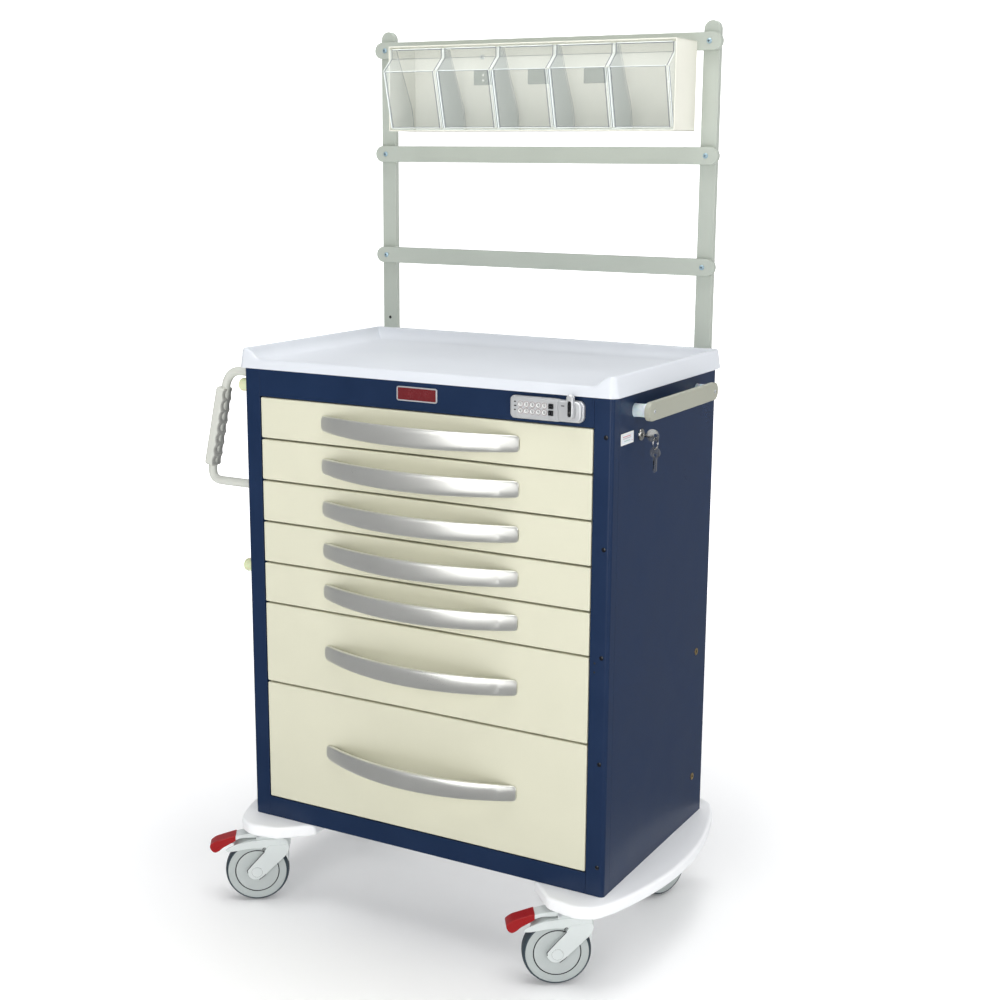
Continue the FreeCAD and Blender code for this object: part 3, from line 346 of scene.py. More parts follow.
NAVY = surface("navy_powder_coat", (0.0070, 0.0225, 0.067), 0.33, grain=ORANGE_PEEL, mottle=0.10,
               Specular_IOR_Level=0.30)
CREAM = surface("cream_powder_coat", (0.645, 0.635, 0.495), 0.42, grain=ORANGE_PEEL, mottle=0.02)
RACK = surface("rack_powder_coat", (0.415, 0.45, 0.40), 0.42, grain=ORANGE_PEEL, mottle=0.03)
WINDOW_GREY = surface("hanger_paint", (0.30, 0.33, 0.29), 0.45, grain=ORANGE_PEEL, mottle=0.03)
RAIL = surface("rail_powder_coat", (0.355, 0.36, 0.295), 0.42, grain=ORANGE_PEEL, mottle=0.03)
BRUSHED = surface("brushed_aluminium", (0.80, 0.80, 0.76), 0.31, 0.78, grain=(420, 0.00002, (0.02, 5, 5)),
                  spread=0.04, Anisotropic=0.5)
WHITE = surface("white_moulding", (0.66, 0.685, 0.725), 0.36, mottle=0.012)
BASE_WHITE = surface("base_moulding", (0.92, 0.93, 0.94), 0.42, mottle=0.015)
WARM_GREY = surface("handle_moulding", (0.57, 0.58, 0.53), 0.45, mottle=0.03)
# Painted shade: a darker copy of the handle grey, put on the grip's side towards the cabinet for the shade it lies
# in.
GRIP_PAINTED_SHADE = surface("grip_painted_shade", (0.40, 0.40, 0.37), 0.6, mottle=0.06)
CASTER_GREY = surface("caster_moulding", (0.66, 0.70, 0.69), 0.38, mottle=0.03)
TYRE = surface("tyre_rubber", (0.045, 0.066, 0.082), 0.48, grain=(700, 0.00008, (1, 1, 1)), mottle=0.15)
RED = surface("pedal_red", (0.34, 0.005, 0.007), 0.30, mottle=0.06)
BUMPER = surface("pale_bumper", (0.68, 0.72, 0.46), 0.45, Subsurface_Weight=0.15)
MILKY = surface("milky_standoff", (0.66, 0.74, 0.76), 0.35, mottle=0.03, Subsurface_Weight=0.2)
ZINC = surface("zinc_steel", (0.66, 0.68, 0.70), 0.36, 0.6, grain=STEEL_GRAIN, mottle=0.12, spread=0.12)
CHROME = surface("chrome", (0.64, 0.63, 0.60), 0.18, 1.0, grain=(80, 0.00001, (1, 1, 1)),
                 mottle=0.05, spread=0.05)
SILVER = surface("satin_silver", (0.70, 0.71, 0.72), 0.34, 0.55, mottle=0.05)
BUTTON = surface("button_silver", (0.72, 0.73, 0.72), 0.35, 0.35)
# Black plastic for the function keys and the knob's inlay; also painted shade in screw cross recesses, holes and
# the keyway.
BLACK_AND_PAINTED_SHADE = surface("black_plastic_and_painted_shade", (0.010, 0.011, 0.013), 0.30, mottle=0.2)
# Dark print for figures and marks; also the dark lines of painted shade along the caster arms' edges.
INK_AND_PAINTED_SHADE = surface("dark_print_and_painted_shade", (0.02, 0.02, 0.025), 0.5, mottle=0.1)
PAPER = surface("white_print", (0.75, 0.75, 0.72), 0.5, mottle=0.03)
LABEL_RED = surface("label_red", (0.55, 0.16, 0.14), 0.5, mottle=0.05)
# Grey print on the side label; also the thin rings of painted shade round the keypad buttons.
LABEL_GREY_AND_BUTTON_SHADE = surface("label_grey_and_painted_button_shade", (0.42, 0.36, 0.36), 0.5, mottle=0.05)
LABEL_GREEN = surface("label_green", (0.30, 0.50, 0.42), 0.5, mottle=0.05)
# Black plugs; also the black discs of painted shade inside the threaded inserts' bores.
PLUG_BLACK_AND_BORE_SHADE = surface("plug_black_and_painted_bore_shade", (0.004, 0.005, 0.008), 0.25, mottle=0.2)
SCREW_BLUE = surface("screw_zinc_blue", (0.36, 0.50, 0.58), 0.32, 0.5, grain=STEEL_GRAIN, mottle=0.15)
BADGE = surface("badge_red", (0.15, 0.012, 0.016), 0.25, mottle=0.08, Coat_Weight=0.5)
BRASS = surface("brass", (0.62, 0.45, 0.20), 0.30, 1.0, grain=(300, 0.00002, (1, 1, 1)), mottle=0.12)
IVORY = surface("ivory_moulding", (0.79, 0.78, 0.69), 0.40, mottle=0.02)
# Painted glow: the bins' clear plastic also gives off a faint pale light to look brighter.
CLEAR_WITH_PAINTED_GLOW = clear_plastic("clear_polycarbonate_painted_glow", (0.94, 0.97, 0.94), 0.04, 0.22, 0.32)
HUB = surface("hub_moulding", (0.54, 0.58, 0.57), 0.33, 0.10, grain=(240, 0.00003, (1, 1, 1)))
HUB_RING = surface("hub_ring", (0.46, 0.50, 0.49), 0.40, mottle=0.03)
# Painted highlights: nearly opaque white with a faint glow for thin lines along the bins' folds and edges; the
# dark lines beside them are painted shade.
EDGE_PAINTED_HIGHLIGHT = clear_plastic("clear_plastic_painted_edge_highlight", (0.90, 0.93, 0.94), 0.6, 0.9, 0.3)
EDGE_SHADE = surface("clear_plastic_edge_shade", (0.17, 0.18, 0.22), 0.3, mottle=0.05, Alpha=0.8)


# ---- cabinet ----

STEEL = 1.5
OPEN_HALF = HALF_WIDTH - 35
FRAME_BACK = (FRAME_HIGH.y - MIDDLE.y) / MM
drawer_boxes = [local_box(f"drawer_{number}_body") for number in range(1, 8)]
DRAWER_GAP = 1.6
DRAWERS_LOW = drawer_boxes[-1][0].z - DRAWER_GAP
DRAWERS_HIGH = drawer_boxes[0][1].z + DRAWER_GAP


def cabinet_panels():
    """The bent side and back sheet, the top and bottom plates and the liners behind the stiles."""
    shape = Shape()
    bend, back, side = 4.0, HALF_DEPTH, HALF_WIDTH

    def wrap(inset):
        right = [(side - inset, FRAME_BACK + 0.4)] + arc(side - bend, back - bend, bend - inset, 0, 90, 5)
        return right + [(-x, y) for x, y in right[::-1]]

    shape.prism(wrap(0) + wrap(STEEL)[::-1], "z", FLOOR, TOP, 0.4)
    for low in (FLOOR, TOP - STEEL):
        shape.block((-side + STEEL, FRAME_BACK, low), (side - STEEL, back - STEEL, low + STEEL), 0.3)
    for sign in (-1, 1):
        x0, x1 = sorted_pair(sign, OPEN_HALF, OPEN_HALF + STEEL)
        shape.block((x0, FRAME_BACK, FLOOR + STEEL), (x1, back - STEEL - 2, TOP - STEEL), 0.3)
    piece("cabinet_panels", shape, "cart", NAVY, ["cabinet_shell"])


def stile_outline(sign):
    """A stile's folded section seen from above: face, rounded outer corner, side flange and inner return."""
    front, back, bend = -HALF_DEPTH, FRAME_BACK, 7.0
    bend_x, bend_y = HALF_WIDTH - bend, front + bend
    outline = [(OPEN_HALF, back), (OPEN_HALF, front + 1.2), (OPEN_HALF + 0.35, front + 0.35),
               (OPEN_HALF + 1.2, front), *arc(bend_x, bend_y, bend, -90, 0, 7), (HALF_WIDTH, back),
               (HALF_WIDTH - STEEL, back), *arc(bend_x, bend_y, bend - STEEL, 0, -90, 7),
               (OPEN_HALF + STEEL, front + STEEL), (OPEN_HALF + STEEL, back)]
    return outline if sign > 0 else [(-x, y) for x, y in reversed(outline)]


def front_frame():
    """Two folded stiles and two folded rails round the drawers."""
    shape = Shape()
    for sign in (-1, 1):
        shape.prism(stile_outline(sign), "z", FLOOR, TOP, 0.4)
    front, back = -HALF_DEPTH, FRAME_BACK
    fold = [(front, 1.2), (front + 0.35, 0.35), (front + 1.2, 0), (back, 0), (back, STEEL),
            (front + STEEL, STEEL)]
    for low, high in ((DRAWERS_HIGH, TOP), (FLOOR, DRAWERS_LOW)):
        section = [(y, low + z) for y, z in fold] + [(y, high - z) for y, z in fold[::-1]]
        shape.prism(section, "x", -OPEN_HALF, OPEN_HALF, 0.2)
    piece("front_frame_folded", shape, "cart", NAVY, ["front_frame"])


def back_and_side_details():
    """Screws round the back panel, holes in a stile, the side label and the clips on the left side."""
    screws, holes, plate, clips = Shape(), Shape(), Shape(), Shape()
    places = [(sign * (HALF_WIDTH - 14), FLOOR + up) for sign in (-1, 1) for up in (30, 230, 430, 630)]
    for x, z in places + [(x, FLOOR + 14) for x in (-240, -80, 80, 240)]:
        pan_screw(screws, (x, HALF_DEPTH, z), (0, 1, 0), 4.2)
    # Painted shade: the two stile holes are flat black discs standing in for the dark inside of the holes.
    for drop in (458, 474):
        holes.lathe([(0, 2.1), (0.25, 1.6)], (354, -HALF_DEPTH, TOP - drop), (0, -1, 0), 18)
    piece("back_panel_screws", screws, "cart", ZINC)
    piece("stile_holes_painted_shade", holes, "cart", BLACK_AND_PAINTED_SHADE)
    face, print_face = HALF_WIDTH + 1.2, HALF_WIDTH + 1.5
    plate.block((HALF_WIDTH, -197, TOP - 84), (face, -147, TOP - 64), 0.5)
    plate.block((face, -194.5, TOP - 81.5), (print_face, -149.5, TOP - 66.5), 0.1, 1)
    stripes = ((-191, -160, 69.5, 2), (-191, -158, 72.5, 3), (-186, -162, 77, 4), (-156, -153, 78, 2))
    for y0, y1, drop, kind in stripes:
        plate.block((print_face, y0, TOP - drop - 1.2), (print_face + 0.2, y1, TOP - drop), 0.05, kind)
    piece("side_label_plate", plate, "cart", [PAPER, WHITE, LABEL_RED, LABEL_GREY_AND_BUTTON_SHADE, LABEL_GREEN])
    for drop in (208, 268):
        clips.block((-HALF_WIDTH - 7, -212, TOP - drop - 14), (-HALF_WIDTH, -198, TOP - drop + 14), 2.0)
    piece("left_wall_clips", clips, "cart", MILKY)


def pan_screw(shape, place, axis, radius, kind=0, recess_shade_kind=None):
    """A domed screw head with a cross recess drawn as two sunken bars; when a separate recess material is given,
    the recess is painted dark as painted shade.
    """
    height = radius * 0.5
    shape.lathe([(0, radius), (height * 0.35, radius * 0.97), (height * 0.75, radius * 0.72),
                 (height, radius * 0.34)], place, axis, 24, kind)
    first, second = across(axis)
    place, axis = Vector(place), Vector(axis).normalized()
    turn = Matrix((first, second, axis)).transposed().to_4x4()
    turn.translation = place
    for long, wide in ((radius * 0.42, radius * 0.11), (radius * 0.11, radius * 0.42)):
        shape.block((-long, -wide, height * 0.9), (long, wide, height + 0.06), 0.03,
                    kind if recess_shade_kind is None else recess_shade_kind, turn, 1)


# ---- drawers ----

def drawer_pieces(number):
    """The drawer's rounded panel, its folded box with rolled top edges and its slide runners."""
    low, high = drawer_boxes[number - 1]
    body = f"drawer_{number}"
    front, half, panel_deep = low.y, high.x, 18

    def ring(inset, deep, radius):
        plan = round_outline(-half + inset, low.z + inset, half - inset, high.z - inset, radius, 4)
        return [(x, front + deep, z) for x, z in plan]

    turn_in = ((0.0, panel_deep), (0.0, 2.6), (0.35, 1.3), (1.1, 0.45), (2.2, 0.08), (3.2, 0.0))
    rings = [ring(inset, deep, max(2.6 - inset, 0.6)) for inset, deep in turn_in]
    panel = Shape().loft(rings, first_cap=False)
    panel.loft([rings[0], ring(STEEL, panel_deep, 1.2), ring(STEEL, 3, 1.2)], first_cap=False)
    piece(f"drawer_{number}_panel", panel, body, CREAM, [f"drawer_{number}_body"])

    box, wall, roll = Shape(), OPEN_HALF - 14, 1.6
    start, end = front + panel_deep, high.y
    bottom, brim = low.z - DRAWER_GAP + 8, high.z + DRAWER_GAP - 14
    for sign in (-1, 1):
        x0, x1 = sorted_pair(sign, wall, wall - STEEL)
        box.block((x0, start, bottom), (x1, end, brim), 0.3)
        x = sign * (wall - 2.4)
        box.tube([(x, start + 0.5, brim - roll), (x, end - 0.5, brim - roll)], roll, 10)
    box.block((-wall + STEEL, end - STEEL, bottom), (wall - STEEL, end, brim), 0.3)
    box.block((-wall + STEEL, start, bottom), (wall - STEEL, end - STEEL, bottom + STEEL), 0.3)
    box.block((-wall + STEEL, start, bottom), (wall - STEEL, start + STEEL, brim), 0.3)
    box.tube([(-wall + 3, end - 2.4, brim - roll), (wall - 3, end - 2.4, brim - roll)], roll, 10)
    piece(f"drawer_{number}_box", box, body, RACK)

    runners, level = Shape(), low.z - DRAWER_GAP + 40
    upper_half = [(1.6, 8), (3.8, 9.5), (3.8, 12), (0.1, 12)]
    channel = [(a, -b) for a, b in reversed(upper_half)] + upper_half
    for sign in (-1, 1):
        section = [(sign * (wall + a), level + b) for a, b in channel]
        runners.prism(section[::sign], "y", start + 4, end, 0.25)
        for place in (start + 30, start + 190, end - 40):
            runners.lathe([(0, 3.2), (0.7, 2.6), (1.0, TIP)], (sign * (wall + 1.6), place, level),
                          (sign, 0, 0), 16)
    piece(f"drawer_{number}_runners", runners, body, ZINC)


def drawer_pull(number):
    """A bowed strip pull: tall in the middle, square ends with eased corners, and a crowned front face."""
    low, high = local_box(f"drawer_{number}_handle")
    half, level = high.x, (low.z + high.z) / 2
    root, foot = high.y, 3
    bow = high.y - low.y - foot
    tall_middle, tall_end, thick, ease = (high.z - low.z) / 2, 14.5, 9.0, 6.5
    radius = (half ** 2 + bow ** 2) / (2 * bow)
    crown = [(3.6, 1), (2.3, 0.965), (1.3, 0.88), (0.6, 0.7), (0.15, 0.4)]
    crown += [(0, 0)] + [(roll, -share) for roll, share in reversed(crown)]
    stations = [half - ease * (1 - math.cos(math.pi / 2 * k / 6)) for k in range(7)]
    stations += [(half - ease) * (1 - k / 26) for k in range(1, 27)]
    rings = []
    for x in [-x for x in stations[:-1]] + stations[::-1]:
        forward = math.sqrt(radius ** 2 - x * x) - (radius - bow) + foot
        tall = tall_end + (tall_middle - tall_end) * (1 - (x / half) ** 2)
        gone = ease - (half - abs(x))
        if gone > 0:
            tall -= ease - math.sqrt(max(0.0, ease ** 2 - gone ** 2))
        back = max(forward - thick, 0.0)
        section = [(forward - roll, share * tall) for roll, share in crown]
        section += [(back + 1.2, -tall), (back, 1.2 - tall), (back, 0), (back, tall - 1.2), (back + 1.2, tall)]
        rings.append([(x, root - min(max(y, 0), bow + foot), level + z) for y, z in section])
    piece(f"drawer_{number}_pull", Shape().loft(rings), f"drawer_{number}", BRUSHED,
          [f"drawer_{number}_handle"], sharp=50)


# ---- worktop tray and base ----

def worktop_tray():
    """One moulded skin: sloped sides, a rolled rim that drops in an S to the front lip, and a shallow floor."""
    low, high = local_box("worktop_tray")
    x1, y0, y1 = high.x, low.y, high.y
    tall, floor, lip, corner = high.z - low.z, 12.0, 18.0, 15.0
    drop_start, drop_run, slope = 340, 34, math.tan(math.radians(8))
    plan = round_outline(-x1, y0, x1, y1, corner, 10)
    dense = []
    for (x, y), (nx, ny) in zip(plan, plan[1:] + plan[:1]):
        step = 6 if max(y, ny) < y0 + 1 else 60
        steps = max(1, int(math.hypot(nx - x, ny - y) / step))
        dense += [(x + (nx - x) * k / steps, y + (ny - y) * k / steps) for k in range(steps)]

    def rim_height(x, y):
        if y > y0 + corner + 14:
            return tall
        t = min(1, max(0, (abs(x) - drop_start) / drop_run))
        if y > y0 + 1 and abs(x) > 366:
            t = 1
        return lip + (tall - lip) * t * t * (3 - 2 * t)

    def inset_point(x, y, inset, back_extra):
        bend = max(corner, inset + 6)
        cx = max(-x1 + bend, min(x1 - bend, x))
        cy = max(y0 + bend, min(y1 - bend, y))
        dx, dy = x - cx, y - cy
        length = math.hypot(dx, dy) or 1
        px, py = cx + dx / length * (bend - inset), cy + dy / length * (bend - inset)
        return px, py - (back_extra * dy / length if dy > 0 and py > cy else 0)

    rings = []
    rim = ((0, 0.0, 0), (0, 0.04, 0), (None, 0.55, 0), (None, 0.86, 0), (5.6, 0.955, 0), (6.6, 0.99, 0),
           (8.0, 1.0, 0), (10.2, 1.0, 6), (11.6, 0.99, 6), (12.6, 0.955, 6), (13.2, 0.90, 6))
    for inset, share, back_extra in rim:
        ring = []
        for x, y in dense:
            height = rim_height(x, y) * share
            point = inset_point(x, y, height * slope if inset is None else inset, back_extra)
            ring.append((*point, low.z + height))
        rings.append(ring)
    for drop, inset in ((0.72, 15.0), (0.42, 18.5), (0.2, 23.0), (0.07, 28.5), (0.015, 34.0), (0.0, 40.0)):
        rings.append([(*inset_point(x, y, inset, 6), low.z + floor + (rim_height(x, y) * 0.90 - floor) * drop)
                      for x, y in dense])
    piece("worktop_tray_moulded", Shape().loft(rings), "cart", WHITE, ["worktop_tray"],
          sharp=60)


def base_platform():
    """The moulded base: an ear over each caster, bowed sides, recesses front and back, and a full bullnose."""
    low, high = local_box("base_platform")
    x1, y1 = high.x, high.y
    waist = (232, 190, 140, 90, 45)
    bowed = [(x1 - 42 * (y / waist[0]) ** 2, y) for y in (*waist, 0, *(-y for y in reversed(waist)))]
    ear = [(243, 178), (240, 222), (294, y1 - 10), (352, y1), (386, 267)]
    right = ear + bowed + [(x, -y) for x, y in reversed(ear)]
    rounding = [8, 6, 10, 14, 12, 16] + [60] * 9 + [16, 12, 14, 10, 6, 8]
    ring = rounded(right + [(-x, y) for x, y in reversed(right)], rounding + rounding[::-1], 7)
    ring = [p for i, p in enumerate(ring) if math.dist(p, ring[i - 1]) > 0.2]
    normals = [Vector((by - ay, ax - bx)).normalized()
               for (ax, ay), (bx, by) in zip(ring[-1:] + ring[:-1], ring[1:] + ring[:1])]
    thick = high.z - low.z
    profile = [(9, 0.0), (5.5, 0.3), (3, 1.2), (1.2, 2.8), (0.3, 4.8), (0, 7), (0, thick - 6), (0.3, thick - 4),
               (1.2, thick - 2.2), (2.8, thick - 0.9), (5, thick - 0.15), (8, thick)]
    rings = [[(x + n.x * inset, y + n.y * inset, low.z + z) for (x, y), n in zip(ring, normals)]
             for inset, z in profile]
    piece("base_platform_moulded", Shape().loft(rings), "cart", BASE_WHITE, ["base_platform"],
          sharp=60)


# ---- casters ----

def caster_place(name):
    """Swivel point and the direction in which the wheel trails, from the joints."""
    swivel, _ = joint_place(f"caster_{name}_swivel")
    _, axle = joint_place(f"wheel_{name}_spin")
    trail = Vector((axle.y, -axle.x, 0))
    return swivel, math.degrees(math.atan2(trail.y, trail.x)), axle


TRAIL, WHEEL = 43.5, 62.5


def caster_fork(name, braked):
    """Swivel head with bearing rings, two arms with dark lines of painted shade along their edges and round the
    axle boss, a hood with skirts, and the axle.
    """
    swivel, angle, _ = caster_place(name)
    at = turned(swivel.x, swivel.y, angle)
    top = local_box(f"caster_{name}_fork")[1].z
    hub, well, guard_edge = (TRAIL, 0, WHEEL), WHEEL + 2.2, WHEEL + 4.9
    shape = Shape()
    shape.lathe([(112, 19), (113, 22), (top - 9, 22.4), (top - 7.6, 21.9), (top - 6.6, 20.8), (top - 5.2, 20.8),
                 (top - 4.2, 22.2), (top - 0.8, 22.2), (top, 21.4)], (0, 0, 0), (0, 0, 1), 48, 0, matrix=at)
    skirt = [(-18, 106), (6, 108), (30, 111), (48, 112.4), (66, 110.6), (80, 108.2), (92, 106.6), (102, 107.0),
             (104, 109.5), (102, 113), (96, 116), (82, 121.4), (66, 125.8), (48, 128.8), (28, 130.6), (10, 131),
             (-12, 131), (-18, 126)]
    arm = rounded([(20, 118), (28.5, 105.5), (TRAIL + 20, WHEEL + 3.5), (TRAIL + 16, WHEEL - 11),
                   (TRAIL + 2, WHEEL - 17), (TRAIL - 12, WHEEL - 10), (-14, 97), (-20, 108), (-20, 120)],
                  [4, 4, 9, 12, 10, 8, 12, 7, 6], 6)
    curl = smooth_curve([(25.6, 112.6), (29.4, 113.2), (31.4, 110.6), (30.2, 106.4), (28.0, 105.4)], 5)
    upper_edge = [*curl, (TRAIL + 19.2, WHEEL + 4.4), (TRAIL + 18.4, WHEEL - 1.5)]
    lower_edge = [(TRAIL - 4, WHEEL - 15.6), (TRAIL - 12.4, WHEEL - 9.4), (TRAIL - 17, WHEEL - 4.5)]
    for side in (-1, 1):
        shape.prism(arm, "y", *sorted_pair(side, 17.3, 22.4), 0.9, 0, at, 3)
        shape.prism(skirt, "y", *sorted_pair(side, 17.3, 21.6), 1.4, 0, at, 3)
        # Painted shade: dark tubes along the arm's upper and lower edges and round the axle boss stand in for the
        # shade at those edges.
        for edge, radius in ((upper_edge, 0.75), (lower_edge, 0.6)):
            shape.tube([(x, side * 22.0, z) for x, z in edge], radius, 8, 2, matrix=at)
        shape.tube([(x, side * 22.05, z) for x, z in arc(TRAIL, WHEEL, 10.4, 0, 360, 40)[:-1]], 0.42, 6, 2,
                   looped=True, matrix=at)
        shape.lathe([(22.0, 9.9), (22.7, 9.3), (22.95, 6), (23.0, TIP)], hub, (0, side, 0), 40, 0, matrix=at)
    hood = [(30.5, 129.6), (26, 130.6), (-14, 130.6), (-20, 124), (-20.5, 110), (-17, 101.5)]
    shape.prism(hood + arc(TRAIL, WHEEL, well, 163, 97, 22), "y", -17.6, 17.6, 1.0, 0, at, 2)
    guard = arc(TRAIL, WHEEL, guard_edge, 110, 47, 21) + arc(TRAIL, WHEEL, well, 45, 111, 22)
    shape.prism(guard, "y", -17.4, 17.4, 0.6, 0, at, 2)
    if braked:
        pivot, _ = joint_place(f"pedal_{name}_press")
        px = (pivot.xy - swivel.xy).length
        ear = rounded([(12, 124), (px + 3.6, 126), (px + 4, 138), (px + 1, 141), (px - 4, 141), (14, 136)], 2.5)
        for side in (-1, 1):
            shape.prism(ear, "y", *sorted_pair(side, 16.1, 19.0), 0.7, 0, at, 2)
        shape.lathe([(-19.6, 3.2), (-19, 3.4), (-18.8, 2.45), (18.8, 2.45), (19, 3.4), (19.6, 3.2)],
                    (px, 0, pivot.z), (0, 1, 0), 20, 1, matrix=at)
    shape.lathe([(-17.5, 5.0), (17.5, 5.0)], hub, (0, 1, 0), 24, 1, matrix=at, tips=False)
    piece(f"caster_{name}_yoke", shape, f"caster_{name}", [CASTER_GREY, ZINC, INK_AND_PAINTED_SHADE],
          [f"caster_{name}_fork"])


def caster_wheel(name):
    """Round tyre and a moulded hub: a pale ring, a thin dark groove, a satin disc and a round cap line."""
    _, _, axle = caster_place(name)
    place, _ = joint_place(f"wheel_{name}_spin")
    tread = [(13.2, 55.0), (14.4, 56.8), (15.4, 57.6), (15.0, 58.9), (13.0, 60.4), (9.5, 61.7), (5, 62.35)]
    tyre = [(-a, r) for a, r in tread] + [(0, 62.5)] + tread[::-1] + [(10, 53.6), (-10, 53.6)]
    shape = Shape().lathe(tyre, place, axle, 96, 0, looped=True)
    face = [(10.0, 54.6), (13.3, 56.2), (14.9, 57.0), (15.4, 56.0), (15.5, 52.0), (15.4, 44.6), (14.7, 43.5),
            (13.2, 43.2), (13.2, 41.9), (14.8, 41.5), (15.2, 40.6), (15.0, 24), (15.3, 12.4), (15.35, 11.6),
            (15.0, 11.3), (15.0, 10.8), (15.4, 10.5), (15.6, 9), (15.7, 5.2)]
    kinds = [2] * 6 + [3, 3, 3] + [1] * 4 + [3, 3, 3] + [1, 1]
    shape.lathe([(-a, r) for a, r in face] + face[::-1], place, axle, 96, 1,
                kinds=kinds + [1] + kinds[::-1] + [1], looped=True)
    piece(f"caster_{name}_tyre_and_hub", shape, f"wheel_{name}", [TYRE, HUB, HUB_RING, INK_AND_PAINTED_SHADE],
          [f"caster_{name}_wheel"])


def caster_pedal(name):
    """A grey lever that ends in a thick red foot with a lip under its tip."""
    swivel, angle, _ = caster_place(name)
    at = turned(swivel.x, swivel.y, angle)
    lever = rounded([(35, 133.5), (35, 139.5), (38, 141.1), (66, 140.9), (85, 136.4), (96, 131.8), (92, 125.2),
                     (88, 126.8), (74, 132.4), (46, 132.4)], [2, 3, 2, 10, 6, 1, 1, 4, 8, 3], 5)
    foot = rounded([(84, 138.4), (125, 126.6), (135.4, 118.6), (134.2, 111.0), (129.5, 104.6), (124, 102.6),
                    (115.5, 107), (110, 112.6), (84, 126.8)], [2, 10, 6, 6, 5, 4, 5, 5, 2], 6)
    shape = Shape()
    shape.prism(lever, "y", -14.8, 14.8, 1.8, 0, at, 3)
    shape.prism(foot, "y", -15, 15, 1.6, 1, at, 3)
    piece(f"caster_{name}_lever", shape, f"pedal_{name}", [CASTER_GREY, RED],
          [f"caster_{name}_pedal"])


# ---- overbridge ----

def overbridge():
    """Two uprights with round tops, three rails with round ends, and their washers and screws."""
    low, high = local_box("rack_uprights")
    half = 15.875
    middle, front, back = high.x - half, low.y, high.y
    uprights, rails, screws = Shape(), Shape(), Shape()
    for x in (-middle, middle):
        outline = [(x - half, low.z), (x + half, low.z)] + arc(x, high.z - half, half, 0, 180, 20)
        uprights.prism(outline, "y", front, back, 0.9, 0, None, 3)
    piece("overbridge_uprights", uprights, "cart", RACK, ["rack_uprights"])

    low, high = local_box("rack_rails")
    for level in (low.z + half, (low.z + high.z) / 2, high.z - half):
        rails.prism(bar_outline(-high.x, high.x, level, half), "y", low.y, high.y, 0.9, 0, None, 3)
        for x in (-middle, middle):
            # Painted shade: the screws' cross recesses are black.
            pan_screw(screws, (x, low.y, level), (0, -1, 0), 5.0, 2, 1)
    # Painted shade: a black disc on the left upright's front stands in for a dark hole.
    screws.lathe([(0, 3.2), (0.3, 2.4)], (-middle, front, TOP + 57), (0, -1, 0), 24, 1)
    piece("overbridge_rails", rails, "cart", RACK, ["rack_rails"])
    for x in (-middle, middle):
        for drop in (40, 180):
            hex_bolt(screws, (x, back, TOP - drop), (0, 1, 0), 6.5)
    piece("overbridge_screws", screws, "cart", [ZINC, BLACK_AND_PAINTED_SHADE, SCREW_BLUE])


def hex_bolt(shape, place, axis, radius):
    """A hexagon head on a washer."""
    shape.lathe([(0, radius * 1.35), (0.8, radius * 1.35), (1.0, radius * 1.2)], place, axis, 28)
    shape.lathe([(1.0, radius), (3.8, radius), (4.6, radius * 0.86)], place, axis, 6)


# ---- tilt bins ----

def bin_housing():
    """A moulded open box with rounded front edges, the bins' hanger plates and the screws on its back wall."""
    low, high = local_box("bin_housing")
    wall, count = 2.0, 5
    back = high.y - wall
    shape = Shape().block((low.x, back, low.z), (high.x, high.y, high.z), 0.5)
    for z in (low.z, high.z - wall):
        shape.block((low.x, low.y, z), (high.x, back + wall / 2, z + wall), 0.7, 0, None, 3)
    for x in (low.x, high.x - wall):
        shape.block((x, low.y, low.z + 0.2), (x + wall, back + wall / 2, high.z - 0.2), 0.7, 0, None, 3)
    piece("tilt_bin_housing", shape, "cart", IVORY, ["bin_housing"])
    plates, screws = Shape(), Shape()
    pitch = (high.x - low.x - wall * 2 - 1) / count
    for line in (1.5, 2.5, 3.5):
        x = low.x + pitch * line
        plates.block((x - 42, back - 0.5, high.z - 71), (x + 6, back, high.z - 43), 0.3)
    x = low.x + pitch * 1.5
    for drop in (52, 62):
        plates.lathe([(0, 2.4), (0.25, 2.2)], (x - 21, back - 0.5, high.z - drop), (0, -1, 0), 16, 1)
    # Painted shade: the screw's cross recess is black.
    pan_screw(screws, (x - 23, back, high.z - 18), (0, -1, 0), 5.0, 0, 1)
    piece("tilt_bin_hanger_plates", plates, "cart", [WINDOW_GREY, PAPER])
    piece("tilt_bin_hanger_screws", screws, "cart", [ZINC, BLACK_AND_PAINTED_SHADE])


